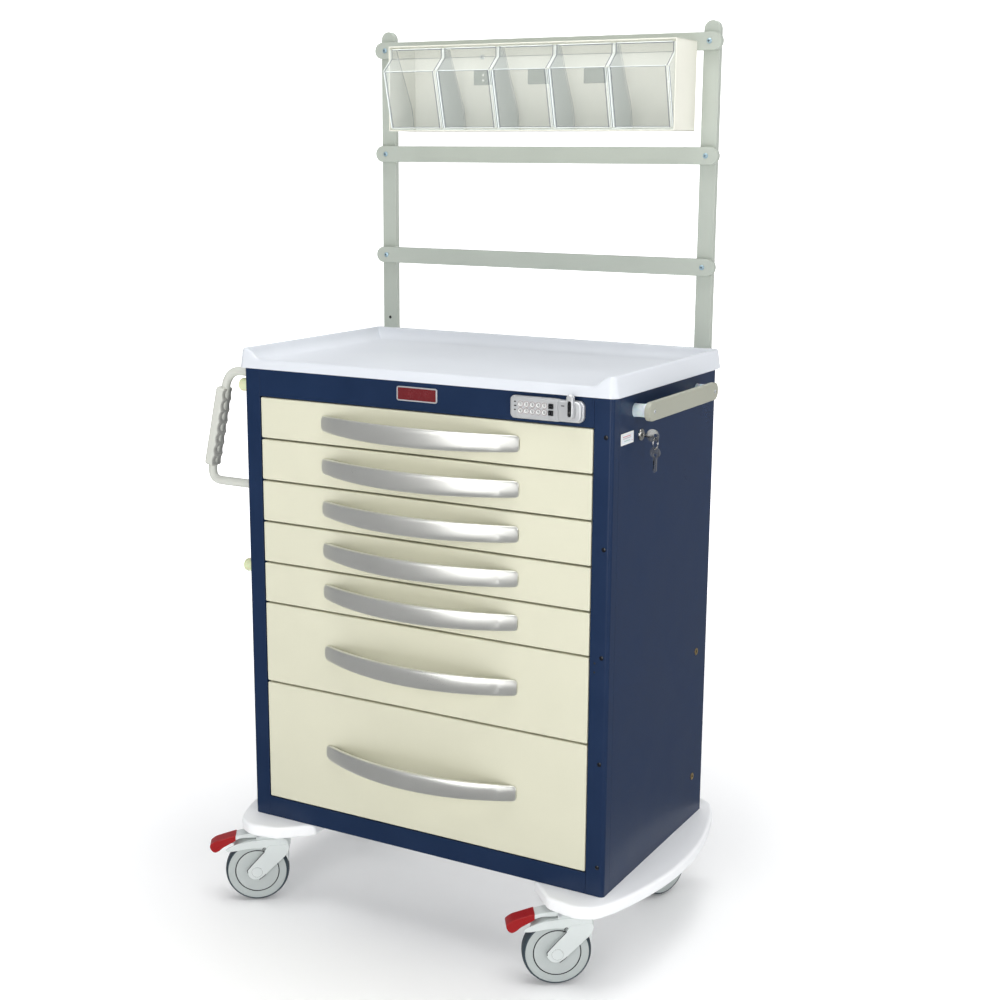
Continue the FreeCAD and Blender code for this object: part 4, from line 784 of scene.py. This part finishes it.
def tilt_bin(number):
    """One clear bin: a thin shell with round upright edges, a sloped front, a folded lip and an open mouth."""
    hinge, _ = joint_place(f"bin_{number}_tilt")
    low, high = local_box(f"tilt_bin_{number}")
    half, middle = (high.x - low.x) / 2, (high.x + low.x) / 2
    belly, fold, brim, wall = 108, 132, 152, 1.8
    back = [(0, 88), (16, 86.6), (34, 83), (49, 77.4), (62, 70), (brim, 24)]

    def at(x, y, z):
        return middle + x, hinge.y + y, hinge.z + z

    def front_of(z):
        return -28 * z / belly if z <= belly else min(0.0, -28 * (fold - z) / (fold - belly))

    def back_of(z):
        (z0, y0), (z1, y1) = next(pair for pair in zip(back, back[1:]) if z <= pair[1][0])
        return y0 + (y1 - y0) * (z - z0) / (z1 - z0)

    def ring(z, inset, lift=0.0):
        y0, y1 = front_of(z) + inset, back_of(z) - inset
        radius = min(max(7.0 - inset, 1.5), (y1 - y0) * 0.45)
        return [at(x, y, z + lift) for x, y in round_outline(inset - half, y0, half - inset, y1, radius, 6)]

    levels = [4, 16, 34, 49, 62, 85, belly, 110.5, 120, fold, 134, 143, brim]
    outside = [ring(0, 3.0), ring(0, 1.2, 0.4), ring(1.2, 0.25, 0.3)] + [ring(z, 0) for z in levels]
    inside = [ring(z, wall) for z in levels[::-1]] + [ring(2.6, wall + 0.4), ring(1.8, wall + 2.0)]
    piece(f"tilt_bin_{number}_shell", Shape().loft(outside + inside), f"bin_{number}", CLEAR_WITH_PAINTED_GLOW,
          [f"tilt_bin_{number}"], sharp=28)
    # Painted light and shade on the bins' edges: the white glowing tubes are painted highlights along folds and
    # edges, and the dark tubes beside them are painted shade.
    painted_edge_lines = Shape()
    for sign in (-1, 1):
        x = sign * (half - 0.9)
        folds = [at(x, front_of(z) + 0.9, z) for z in (151, 133)] + [at(x, -26.6, 108.6)]
        painted_edge_lines.tube(folds, 0.5, 8)
        painted_edge_lines.tube([(a - sign * 2.8, b + 0.4, c) for a, b, c in folds], 0.6, 6, 1)
        for inset, deep, kind in ((3.4, 1.0, 0), (6.4, 1.0, 1), (1.0, 3.2, 0), (1.0, 6.2, 1)):
            painted_edge_lines.tube([at(sign * (half - inset), front_of(z) + deep, z) for z in (3, 55, 107)],
                      0.5 + 0.1 * kind, 6, kind)
        painted_edge_lines.tube([at(x, back_of(z) - 3.0, z) for z in (4, 16, 34, 49, 62, 106, 150)], 0.5, 6, 1)
        painted_edge_lines.tube([at(x, y, 1.2) for y in (4, 84)], 0.6, 6)
    painted_level_lines = ((0.9, 151.0, 0.6, 0), (1.2, 149.6, 0.35, 1), (0.9, 133, 0.35, 1), (-26.8, 108.2, 0.45, 0),
                   (-26.0, 107.1, 0.4, 1), (0.9, 3.0, 0.5, 0), (0.6, 4.6, 0.45, 1), (85, 1.4, 0.6, 0),
                   (22.6, 150.6, 0.4, 1))
    for y, z, radius, kind in painted_level_lines:
        painted_edge_lines.tube([at(5 - half, y, z), at(half - 5, y, z)], radius, 8, kind)
    piece(f"tilt_bin_{number}_edges", painted_edge_lines, f"bin_{number}", [EDGE_PAINTED_HIGHLIGHT, EDGE_SHADE])


# ---- side fittings ----

def accessory_rail():
    """The flat bar on the right side, its collars and milky standoffs, and a screw near each end."""
    low, high = local_box("accessory_rail")
    level, half = (low.z + high.z) / 2, (high.z - low.z) / 2
    bar = Shape().prism(bar_outline(low.y, high.y, level, half), "x", low.x, high.x, 1.1, 0, None, 3)
    piece("side_accessory_bar", bar, "cart", RAIL, ["accessory_rail"])
    post_low, post_high = local_box("rail_standoffs")
    r = (post_high.z - post_low.z) / 2
    profile = [(0, r), (0.8, r), (1.2, r - 0.6), (17, r - 0.6), (17.6, r - 1.6), (18.2, r - 1.6), (18.8, r),
               (25.2, r), (26, r - 0.6)]
    posts, screws = Shape(), Shape()
    for y in (post_low.y + r, post_high.y - r):
        posts.lathe(profile, (post_low.x, y, level), (1, 0, 0), 40)
        # Painted shade: the screws' cross recesses are black.
        pan_screw(screws, (high.x, y, level), (1, 0, 0), 3.6, 0, 1)
    piece("side_bar_standoffs", posts, "cart", MILKY, ["rail_standoffs"])
    piece("side_bar_screws", screws, "cart", [ZINC, BLACK_AND_PAINTED_SHADE])


def push_handle(name, y, replaced):
    """A bent tube with wall flanges and a thicker grip, scalloped on the side towards the cabinet; that side is
    painted a darker grey as painted shade.
    """
    upper = [(0, -13), (-14, -12.6), (-27, -12), (-41, -14.6), (-52, -21.5), (-60, -33), (-64, -46), (-68, -62)]
    lower = [(-99, -192), (-101, -202), (-101.4, -213), (-97.5, -222.4), (-88, -227.4), (-74, -228),
             (-40, -228), (0, -228)]
    path = smooth_curve(upper, 6)
    path += [Vector(upper[-1]).lerp(Vector((-101, -200)), t) for t in (0.2, 0.4, 0.6, 0.8)]
    path += smooth_curve(lower, 6)
    shape = Shape().tube([(-HALF_WIDTH + p.x, y, TOP + p.y) for p in path], 8.3, 24, up=(0, 1, 0))
    for level in (-13, -228):
        shape.lathe([(0, 11.6), (1.2, 11.6), (2.6, 9.6), (3.2, 8.2)], (-HALF_WIDTH, y, TOP + level),
                    (-1, 0, 0), 36)
    top, foot = Vector((-66.0, -46.0)), Vector((-100.6, -197.5))
    length = (foot - top).length
    along = (foot - top).normalized()
    inward = Vector((-along.y, along.x))
    steps, fingers, flat, palm = 84, 7, 7.4, 11.6
    rings = []
    for i in range(steps + 1):
        reached = i / steps * length
        ease = math.sqrt(1 - (1 - min(min(reached, length - reached) / 5, 1)) ** 2)
        inner = flat + 3.0 * (1 - abs(math.sin(math.pi * i / steps * fingers)))
        ring = []
        for x, z in round_outline(-1, -1, 1, 1, 0.46, 4):
            off = top + along * reached + inward * x * (inner if x > 0 else palm) * (0.80 + 0.20 * ease)
            ring.append((-HALF_WIDTH + off.x, y + z * 15.4 * (0.86 + 0.14 * ease), TOP + off.y))
        rings.append(ring)
    shape.loft(rings)
    wide = len(rings[0])
    first_face = len(shape.kinds) - 2 - wide * steps
    # Painted shade: the grip's scalloped side towards the cabinet takes the darker grey, standing in for the shade
    # it lies in.
    for span in range(steps):
        for k in range(2, 8):
            shape.kinds[first_face + span * wide + k] = 1
    piece(f"push_handle_{name}", shape, "cart", [WARM_GREY, GRIP_PAINTED_SHADE], replaced, sharp=60)


def side_bumpers():
    """Round soft bumpers with a stepped foot on the left side."""
    low, high = local_box("side_bumpers")
    radius = 13.5
    profile = [(0, radius), (2.2, 13.4), (3.4, 11.6), (12, 11.2), (17, 12.4), (21, 12.6), (24.2, 11.4),
               (25.6, 8.4), (26, 4)]
    shape = Shape()
    for y in (low.y + radius, high.y - radius):
        for z in (low.z + radius, high.z - radius):
            shape.lathe(profile, (high.x, y, z), (-1, 0, 0), 40)
    piece("left_side_bumpers", shape, "cart", BUMPER, ["side_bumpers"])


# ---- keypad lock ----

def text_faces(shape, text, height, place, kind):
    """Flat raised figures that face the front, centred on a place."""
    curve = bpy.data.curves.new("figure", "FONT")
    curve.body = text
    curve.size = height
    curve.extrude = 0.08
    curve.align_x, curve.align_y = "CENTER", "CENTER"
    carrier = bpy.data.objects.new("figure", curve)
    bpy.context.scene.collection.objects.link(carrier)
    bpy.context.view_layer.update()
    mesh = carrier.to_mesh()
    stand = Matrix.Translation(place) @ Matrix.Rotation(math.radians(90), 4, "X")
    shape.add([v.co[:] for v in mesh.vertices], [list(p.vertices) for p in mesh.polygons], kind, stand)
    carrier.to_mesh_clear()
    bpy.data.objects.remove(carrier)
    bpy.data.curves.remove(curve)


def keypad():
    """The lock's case with a raised field, indicator marks, grey rings of painted shade round the buttons and a
    thicker round end; buttons, keys and knob.
    """
    low, high = local_box("keypad_case")
    wall = high.y
    x0, z0 = low.x + 70, (low.z + high.z) / 2 + 0.5
    shape = Shape()

    def slab(points, radii, steps, back, front, radius, rounds):
        outline = [(x0 + x, z0 + z) for x, z in rounded(points, radii, steps)]
        shape.prism(outline, "y", wall - front, wall - back, radius, 0, None, rounds)

    slab([(-70, -15), (-65, -20), (20, -20), (24, -19), (62, -19), (68.6, -13), (68.6, 12), (63, 18), (24, 18),
          (20, 19), (-65, 19), (-70, 14)], [3, 3, 4, 4, 7, 6, 5, 7, 4, 4, 3, 3], 5, 0, 7.2, 1.6, 3)
    slab([(-67, -13.5), (-63, -17.5), (20, -17.5), (20, 16.5), (-63, 16.5), (-67, 12.5)],
         [2, 2, 3, 3, 2, 2], 5, 5, 9, 0.8, 3)
    slab([(24, -18), (60, -18), (66.6, -12), (66.6, 11), (61, 17), (24, 17)],
         [5, 7, 6, 6, 7, 5], 7, 4, 14, 2.6, 4)
    shape.lathe([(0, 9.0), (0.5, 8.6), (0.6, TIP)], (x0 + 50.5, wall - 13.9, z0 + 9), (0, -1, 0), 40)
    for row, length in enumerate((3.5, 4.5, 3.5)):
        bottom = z0 + 7.6 - row * 6.9
        shape.block((x0 - 61.5, wall - 9.15, bottom), (x0 - 61.5 + length, wall - 8.9, bottom + 2.0), 0.05, 1)
    shape.block((x0 + 30, wall - 14.15, z0 + 8.0), (x0 + 36, wall - 13.9, z0 + 9.6), 0.05, 1)
    centres = {number: sum(local_box(f"keypad_button_{number}"), Vector()) / 2 for number in range(1, 11)}
    # Painted shade: a thin grey ring round each button's foot stands in for the shade in the gap round it.
    for centre in centres.values():
        shape.lathe([(0, 4.5), (0, 5.5), (0.12, 5.5), (0.12, 4.5)], (centre.x, wall - 9.0, centre.z),
                    (0, -1, 0), 32, 2, looped=True)
    piece("keypad_lock_case", shape, "cart", [SILVER, INK_AND_PAINTED_SHADE, LABEL_GREY_AND_BUTTON_SHADE], ["keypad_case"])
    dished = [(0, 4.1), (3.0, 4.35), (3.6, 4.2), (3.9, 3.7), (3.75, 2.9), (3.6, 2.2), (3.55, TIP)]
    for number, centre in centres.items():
        foot = local_box(f"keypad_button_{number}")[1].y
        cap = Shape().lathe(dished, (centre.x, foot, centre.z), (0, -1, 0), 36)
        text_faces(cap, str(number % 10), 5.6, (centre.x, foot - 3.6, centre.z), 1)
        piece(f"digit_button_{number}", cap, f"button_{number}", [BUTTON, INK_AND_PAINTED_SHADE],
              [f"keypad_button_{number}"])
    for number, marks, half_x, half_z in ((1, (0,), 2.4, 0.45), (2, (-2.0, 2.0), 0.45, 1.6)):
        low, high = local_box(f"keypad_key_{number}")
        key, middle = Shape().block(low, high, 0.9, 0, None, 3), (low + high) / 2
        for x in marks:
            key.block((middle.x + x - half_x, low.y, middle.z - half_z),
                      (middle.x + x + half_x, low.y + 0.3, middle.z + half_z), 0.05, 1)
        piece(f"function_key_{number}", key, f"key_{number}", [BLACK_AND_PAINTED_SHADE, PAPER],
              [f"keypad_key_{number}"])
    lock_knob()


def lock_knob():
    """An oval turn knob with a dished black inlay and a key slot in it."""
    low, high = local_box("lock_knob")
    cx, cz = (low.x + high.x) / 2, (low.z + high.z) / 2
    front, wide, drop = low.y, (high.x - low.x) / 2, 3.4

    def oval(half_x, half_z, y, lowered=0.0):
        straight = half_z - half_x
        side = arc(0, straight, half_x, 0, 180, 14) + arc(0, -straight, half_x, 180, 360, 14)
        return [(cx + a, y, cz + b - lowered) for a, b in side]

    shape = Shape().loft([
        oval(5.4, 5.41, high.y), oval(5.4, 5.41, high.y - 2.8), oval(wide - 0.5, 19.8, high.y - 3.0),
        oval(wide, 20.4, high.y - 3.8), oval(wide, 20.5, front + 2.2), oval(wide - 0.4, 20.1, front + 0.9),
        oval(wide - 1.1, 19.4, front + 0.15), oval(wide - 1.8, 18.6, front), oval(wide - 2.9, 13.6, front, drop),
        oval(wide - 3.2, 13.3, front + 0.5, drop)])
    shape.loft([oval(wide - 3.1, 13.4, front + 0.45, drop), oval(wide - 3.3, 13.2, front + 0.35, drop),
                oval(2.0, 8.0, front + 0.55, drop), oval(1.4, 4.0, front + 0.6, drop)], 1)
    shape.lathe([(0, 1.9), (0.5, 1.7), (0.6, TIP)], (cx, front + 0.7, cz - 9.5), (0, -1, 0), 20, 2)
    piece("lock_turn_knob", shape, "knob", [SILVER, BLACK_AND_PAINTED_SHADE, CHROME], ["lock_knob"])


# ---- side lock, badge and small hardware ----

def side_lock():
    """The steel cylinder in the right side, its plug with the key in it, the split ring and the spare key."""
    place, _ = joint_place("side_key_turn")
    y, z, face = place.y, place.z, local_box("side_lock_cylinder")[1].x
    barrel = [(-14, 6.56), (-14, 9.0), (0, 9.0), (0, 10.4), (1.6, 10.5), (3.0, 10.0), (3.8, 8.8), (4.0, 7.4),
              (3.4, 6.9), (3.2, 6.56)]
    lock = Shape().lathe(barrel, (HALF_WIDTH, y, z), (1, 0, 0), 48, looped=True)
    piece("side_lock_barrel", lock, "cart", CHROME, ["side_lock_cylinder"])
    plug = Shape().lathe([(-14, 6.5), (3.3, 6.5), (3.9, 6.1), (4.1, 5.2)], (HALF_WIDTH, y, z), (1, 0, 0), 40)
    # Painted shade: a black block round the key stands in for the dark keyway.
    plug.block((face - 1.6, y - 1.3, z - 4.6), (face + 0.2, y + 1.3, z + 4.6), 0.1, 1, None, 1)
    bow_x = local_box("side_lock_plug_and_key")[1].x - 11.5
    inward = Matrix(((-1, 0, 0, bow_x), (0, 1, 0, y), (0, 0, 1, z), (0, 0, 0, 1)))
    flat_key(plug, inward, bow_x - face - 1.2, 11.3, -5.0, 3.5)
    piece("side_lock_plug_key", plug, "side_key", [CHROME, BLACK_AND_PAINTED_SHADE], ["side_lock_plug_and_key"])
    ring_x, ring_top = joint_place("key_ring_swing")[0].x, local_box("spare_key_ring")[1].z
    wire, radius, ring = 0.9, 10.5, Shape()
    centre = Vector((ring_x, y, ring_top - wire - radius))
    for offset in (-0.42, 0.42):
        ring.tube([centre + Vector((offset * math.cos(t / 2 + 0.6), radius * math.cos(t), radius * math.sin(t)))
                   for t in (math.tau * k / 72 for k in range(72))], 0.55, 10, looped=True)
    bow_z = ring_top - 2 * radius - 6.7
    downward = Matrix(((0, 0, 1, centre.x), (0, 1, 0, y), (-1, 0, 0, bow_z), (0, 0, 0, 1)))
    flat_key(ring, downward, 34.0, 9.3, 4.0, 3.0)
    piece("split_ring_and_spare_key", ring, "key_ring", CHROME, ["spare_key_ring"])


def flat_key(shape, at, reach, bow, eye_x, eye):
    """A flat key in its own frame: its bow round the origin, its blade along +X and its eye at eye_x."""
    thick_half, blade_half, bow_steps = 1.0, 3.6, 44
    start = math.degrees(math.asin(blade_half / bow))
    blade = [(bow + 1.5, -blade_half), (bow + 2.5, -blade_half + 0.2)]
    cuts = [0, 1.6, 0.5, 2.2, 0.9, 1.8, 0.3]
    for k, depth in enumerate(cuts):
        blade += [(bow + 3 + (reach - bow - 4) * (k + share) / len(cuts), -blade_half + depth)
                  for share in (0.4, 0.8)]
    blade += [(reach, -0.6), (reach, 0.8), (reach - 2.4, blade_half - 0.2), (bow + 1.5, blade_half)]
    edge = arc(0, 0, bow, start, 360 - start, bow_steps) + blade
    hole = arc(eye_x, 0, eye, 0, 360, len(edge))[:-1]
    nearest = min(range(len(hole)), key=lambda k: math.dist(hole[k], edge[0]))
    hole = hole[nearest:] + hole[:nearest]
    loops = [[(x, y, z) for x, z in ring]
             for ring, y in ((edge, -thick_half), (edge, thick_half), (hole, thick_half), (hole, -thick_half))]
    shape.loft(loops, looped=True, matrix=at)


def badge_and_hardware():
    """The blank plate on the top rail, and the plugs and threaded inserts of the cabinet, with a black disc of
    painted shade in each insert's bore.
    """
    low, high = local_box("name_badge")

    def rim(inset, y):
        radius = max(4 - inset, 1.2)
        plan = round_outline(low.x + inset, low.z + inset, high.x - inset, high.z - inset, radius, 6)
        return [(x, y, z) for x, z in plan]

    front = low.y
    plate = Shape().loft([rim(0, high.y), rim(0, front + 0.6), rim(0.5, front), rim(2, front),
                          rim(2.3, front + 0.5), rim(3, front + 0.55), rim(6, front + 0.45)],
                         kinds=[0, 0, 0, 0, 1, 1])
    piece("blank_front_plate", plate, "cart", [SILVER, BADGE], ["name_badge"])
    hardware = Shape()
    for drop in (66, 257, 447, 639, 831):
        hardware.lathe([(0, 4.0), (0.4, 4.0), (0.9, 3.2), (1.2, 1.6)], (367, -HALF_DEPTH, TOP - drop),
                       (0, -1, 0), 24, 1)
    mount = next(m for m in frame["record"]["mounts"] if m["name"] == "side_inserts")
    middle = (Vector(mount["pos_m"]) - MIDDLE) / MM
    spread = mount["dims"]["spacing_y_mm"] / 2
    sleeve = [(0, 3.1), (0, 7.0), (0.8, 7.0), (1.2, 6.4), (1.2, 3.4), (0.8, 3.1), (-10, 3.1), (-10, 2.9)]
    for z in (middle.z - spread, middle.z + spread):
        hardware.lathe(sleeve, (HALF_WIDTH, middle.y, z), (1, 0, 0), 36, 2, tips=False)
        # Painted shade: a black disc just inside each insert's bore stands in for its dark inside.
        hardware.lathe([(-3, 3.0), (-2.9, 3.0)], (HALF_WIDTH + 3.2, middle.y, z), (1, 0, 0), 24, 1)
    piece("plugs_and_inserts", hardware, "cart", [ZINC, PLUG_BLACK_AND_BORE_SHADE, BRASS], ["fasteners"])


# ---- stage: floor, lights and camera ----

def stage_floor():
    """A wide pale floor that curves up far behind the cart and glows more the further it is from it, so its dimmer
    glow near the cart is a painted shadow under it.
    """
    half_width, bend_start, bend = 12.0, 4.0, 2.5
    shape = bmesh.new()
    profile = [(-9.0, 0.0)] + arc(bend_start, bend, bend, -90, 0, 12) + [(bend_start + bend, 9.0)]
    rows = [[shape.verts.new((x, y, z)) for y, z in profile] for x in (-half_width, half_width)]
    for a in range(len(profile) - 1):
        shape.faces.new((rows[0][a], rows[1][a], rows[1][a + 1], rows[0][a + 1])).smooth = True
    mesh = bpy.data.meshes.new("studio_floor")
    shape.to_mesh(mesh)
    shape.free()
    paper = surface("studio_floor", (0.88, 0.88, 0.88), 0.55, grain=(80, 0.00001, (1, 1, 1)), mottle=0.004,
                    Emission_Color=(1, 1, 1, 1))
    tree = paper.node_tree
    # Painted shadow: the glow grows with distance from the cart, leaving the floor darker under and around it.
    place = add_node(tree, "TexCoord", {}).outputs["Object"]
    away = add_node(tree, "VectorMath", {0: place}, operation="LENGTH").outputs["Value"]
    painted_glow = add_node(tree, "MapRange", {"Value": away, "From Min": 0.3, "From Max": 3.2,
                                       "To Min": 0.06, "To Max": 0.95})
    set_inputs(tree.nodes["Principled BSDF"], {"Emission Strength": painted_glow.outputs["Result"]})
    mesh.materials.append(paper)
    floor = bpy.data.objects.new("studio_floor", mesh)
    floor.location.z = -0.0005
    bpy.context.scene.collection.objects.link(floor)
    floor.visible_glossy = False


def area_light(name, place, target, size, power, height=None):
    """A rectangular soft light that faces its target."""
    light = bpy.data.lights.new(name, "AREA")
    light.shape = "RECTANGLE"
    light.size, light.size_y = size, height or size
    light.energy = power
    obj = bpy.data.objects.new(name, light)
    obj.location = place
    obj.rotation_euler = (Vector(target) - Vector(place)).to_track_quat("-Z", "Y").to_euler()
    bpy.context.scene.collection.objects.link(obj)


def lights():
    """A big soft key from the front, a top light, a low fill, two edge lights on the right and a dim room."""
    area_light("key", (0.3, -5.0, 2.5), (0, 0, 0.8), 2.2, 76)
    area_light("top", (0.2, -0.4, 4.4), (0, 0, 0.5), 3.0, 116)
    area_light("low_fill", (0.6, -4.6, 0.6), (0, 0, 0.4), 2.0, 38)
    area_light("right_strip", (3.6, -1.9, 1.3), (0, 0, 0.8), 0.2, 22, height=2.8)
    area_light("right_soft", (4.2, -0.4, 2.0), (0, 0, 1.0), 2.0, 20)
    world = bpy.data.worlds.new("studio")
    bpy.context.scene.world = world
    world.use_nodes = True
    tree = world.node_tree
    direction = add_node(tree, "TexCoord", {}).outputs["Generated"]
    split = add_node(tree, "SeparateXYZ", {"Vector": direction}).outputs["Y"]
    span = add_node(tree, "MapRange", {"Value": split, "From Min": -1, "To Min": 0.12, "To Max": 0.30})
    set_inputs(tree.nodes["Background"], {"Strength": span.outputs["Result"], "Color": (0.93, 0.96, 1.0, 1)})


def camera():
    """The photograph's viewpoint: 29 degrees to the right of the front and looking 12 degrees down."""
    azimuth, elevation, roll = math.radians(28.9014), math.radians(-12.2294), math.radians(0.3978)
    data = bpy.data.cameras.new("camera")
    data.sensor_width = 36
    data.lens = 56.746
    obj = bpy.data.objects.new("camera", data)
    turn = Matrix.Rotation(azimuth, 4, "Z") @ Matrix.Rotation(math.pi / 2 + elevation, 4, "X")
    obj.matrix_world = turn @ Matrix.Rotation(roll, 4, "Z")
    obj.location = MIDDLE + Vector((1453.474, -2556.492, 1443.39)) * MM
    bpy.context.scene.collection.objects.link(obj)
    bpy.context.scene.camera = obj


# ---- build ----

cabinet_panels()
front_frame()
back_and_side_details()
for number in range(1, 8):
    drawer_pieces(number)
    drawer_pull(number)
worktop_tray()
base_platform()
for name in ("front_left", "front_right", "rear_left", "rear_right"):
    braked = name.startswith("front")
    caster_fork(name, braked)
    caster_wheel(name)
    if braked:
        caster_pedal(name)
overbridge()
bin_housing()
for number in range(1, 6):
    tilt_bin(number)
accessory_rail()
push_handle("front", local_box("push_handles")[0].y + 15.5, ["push_handles"])
push_handle("back", local_box("push_handles")[1].y - 15.5, [])
side_bumpers()
keypad()
side_lock()
badge_and_hardware()

channels = frame["nodes"]["drawer_slide_channels"]
channels.data.materials.clear()
channels.data.materials.append(ZINC)

stage_floor()
lights()
camera()
bpy.context.scene.view_settings.view_transform = "Standard"
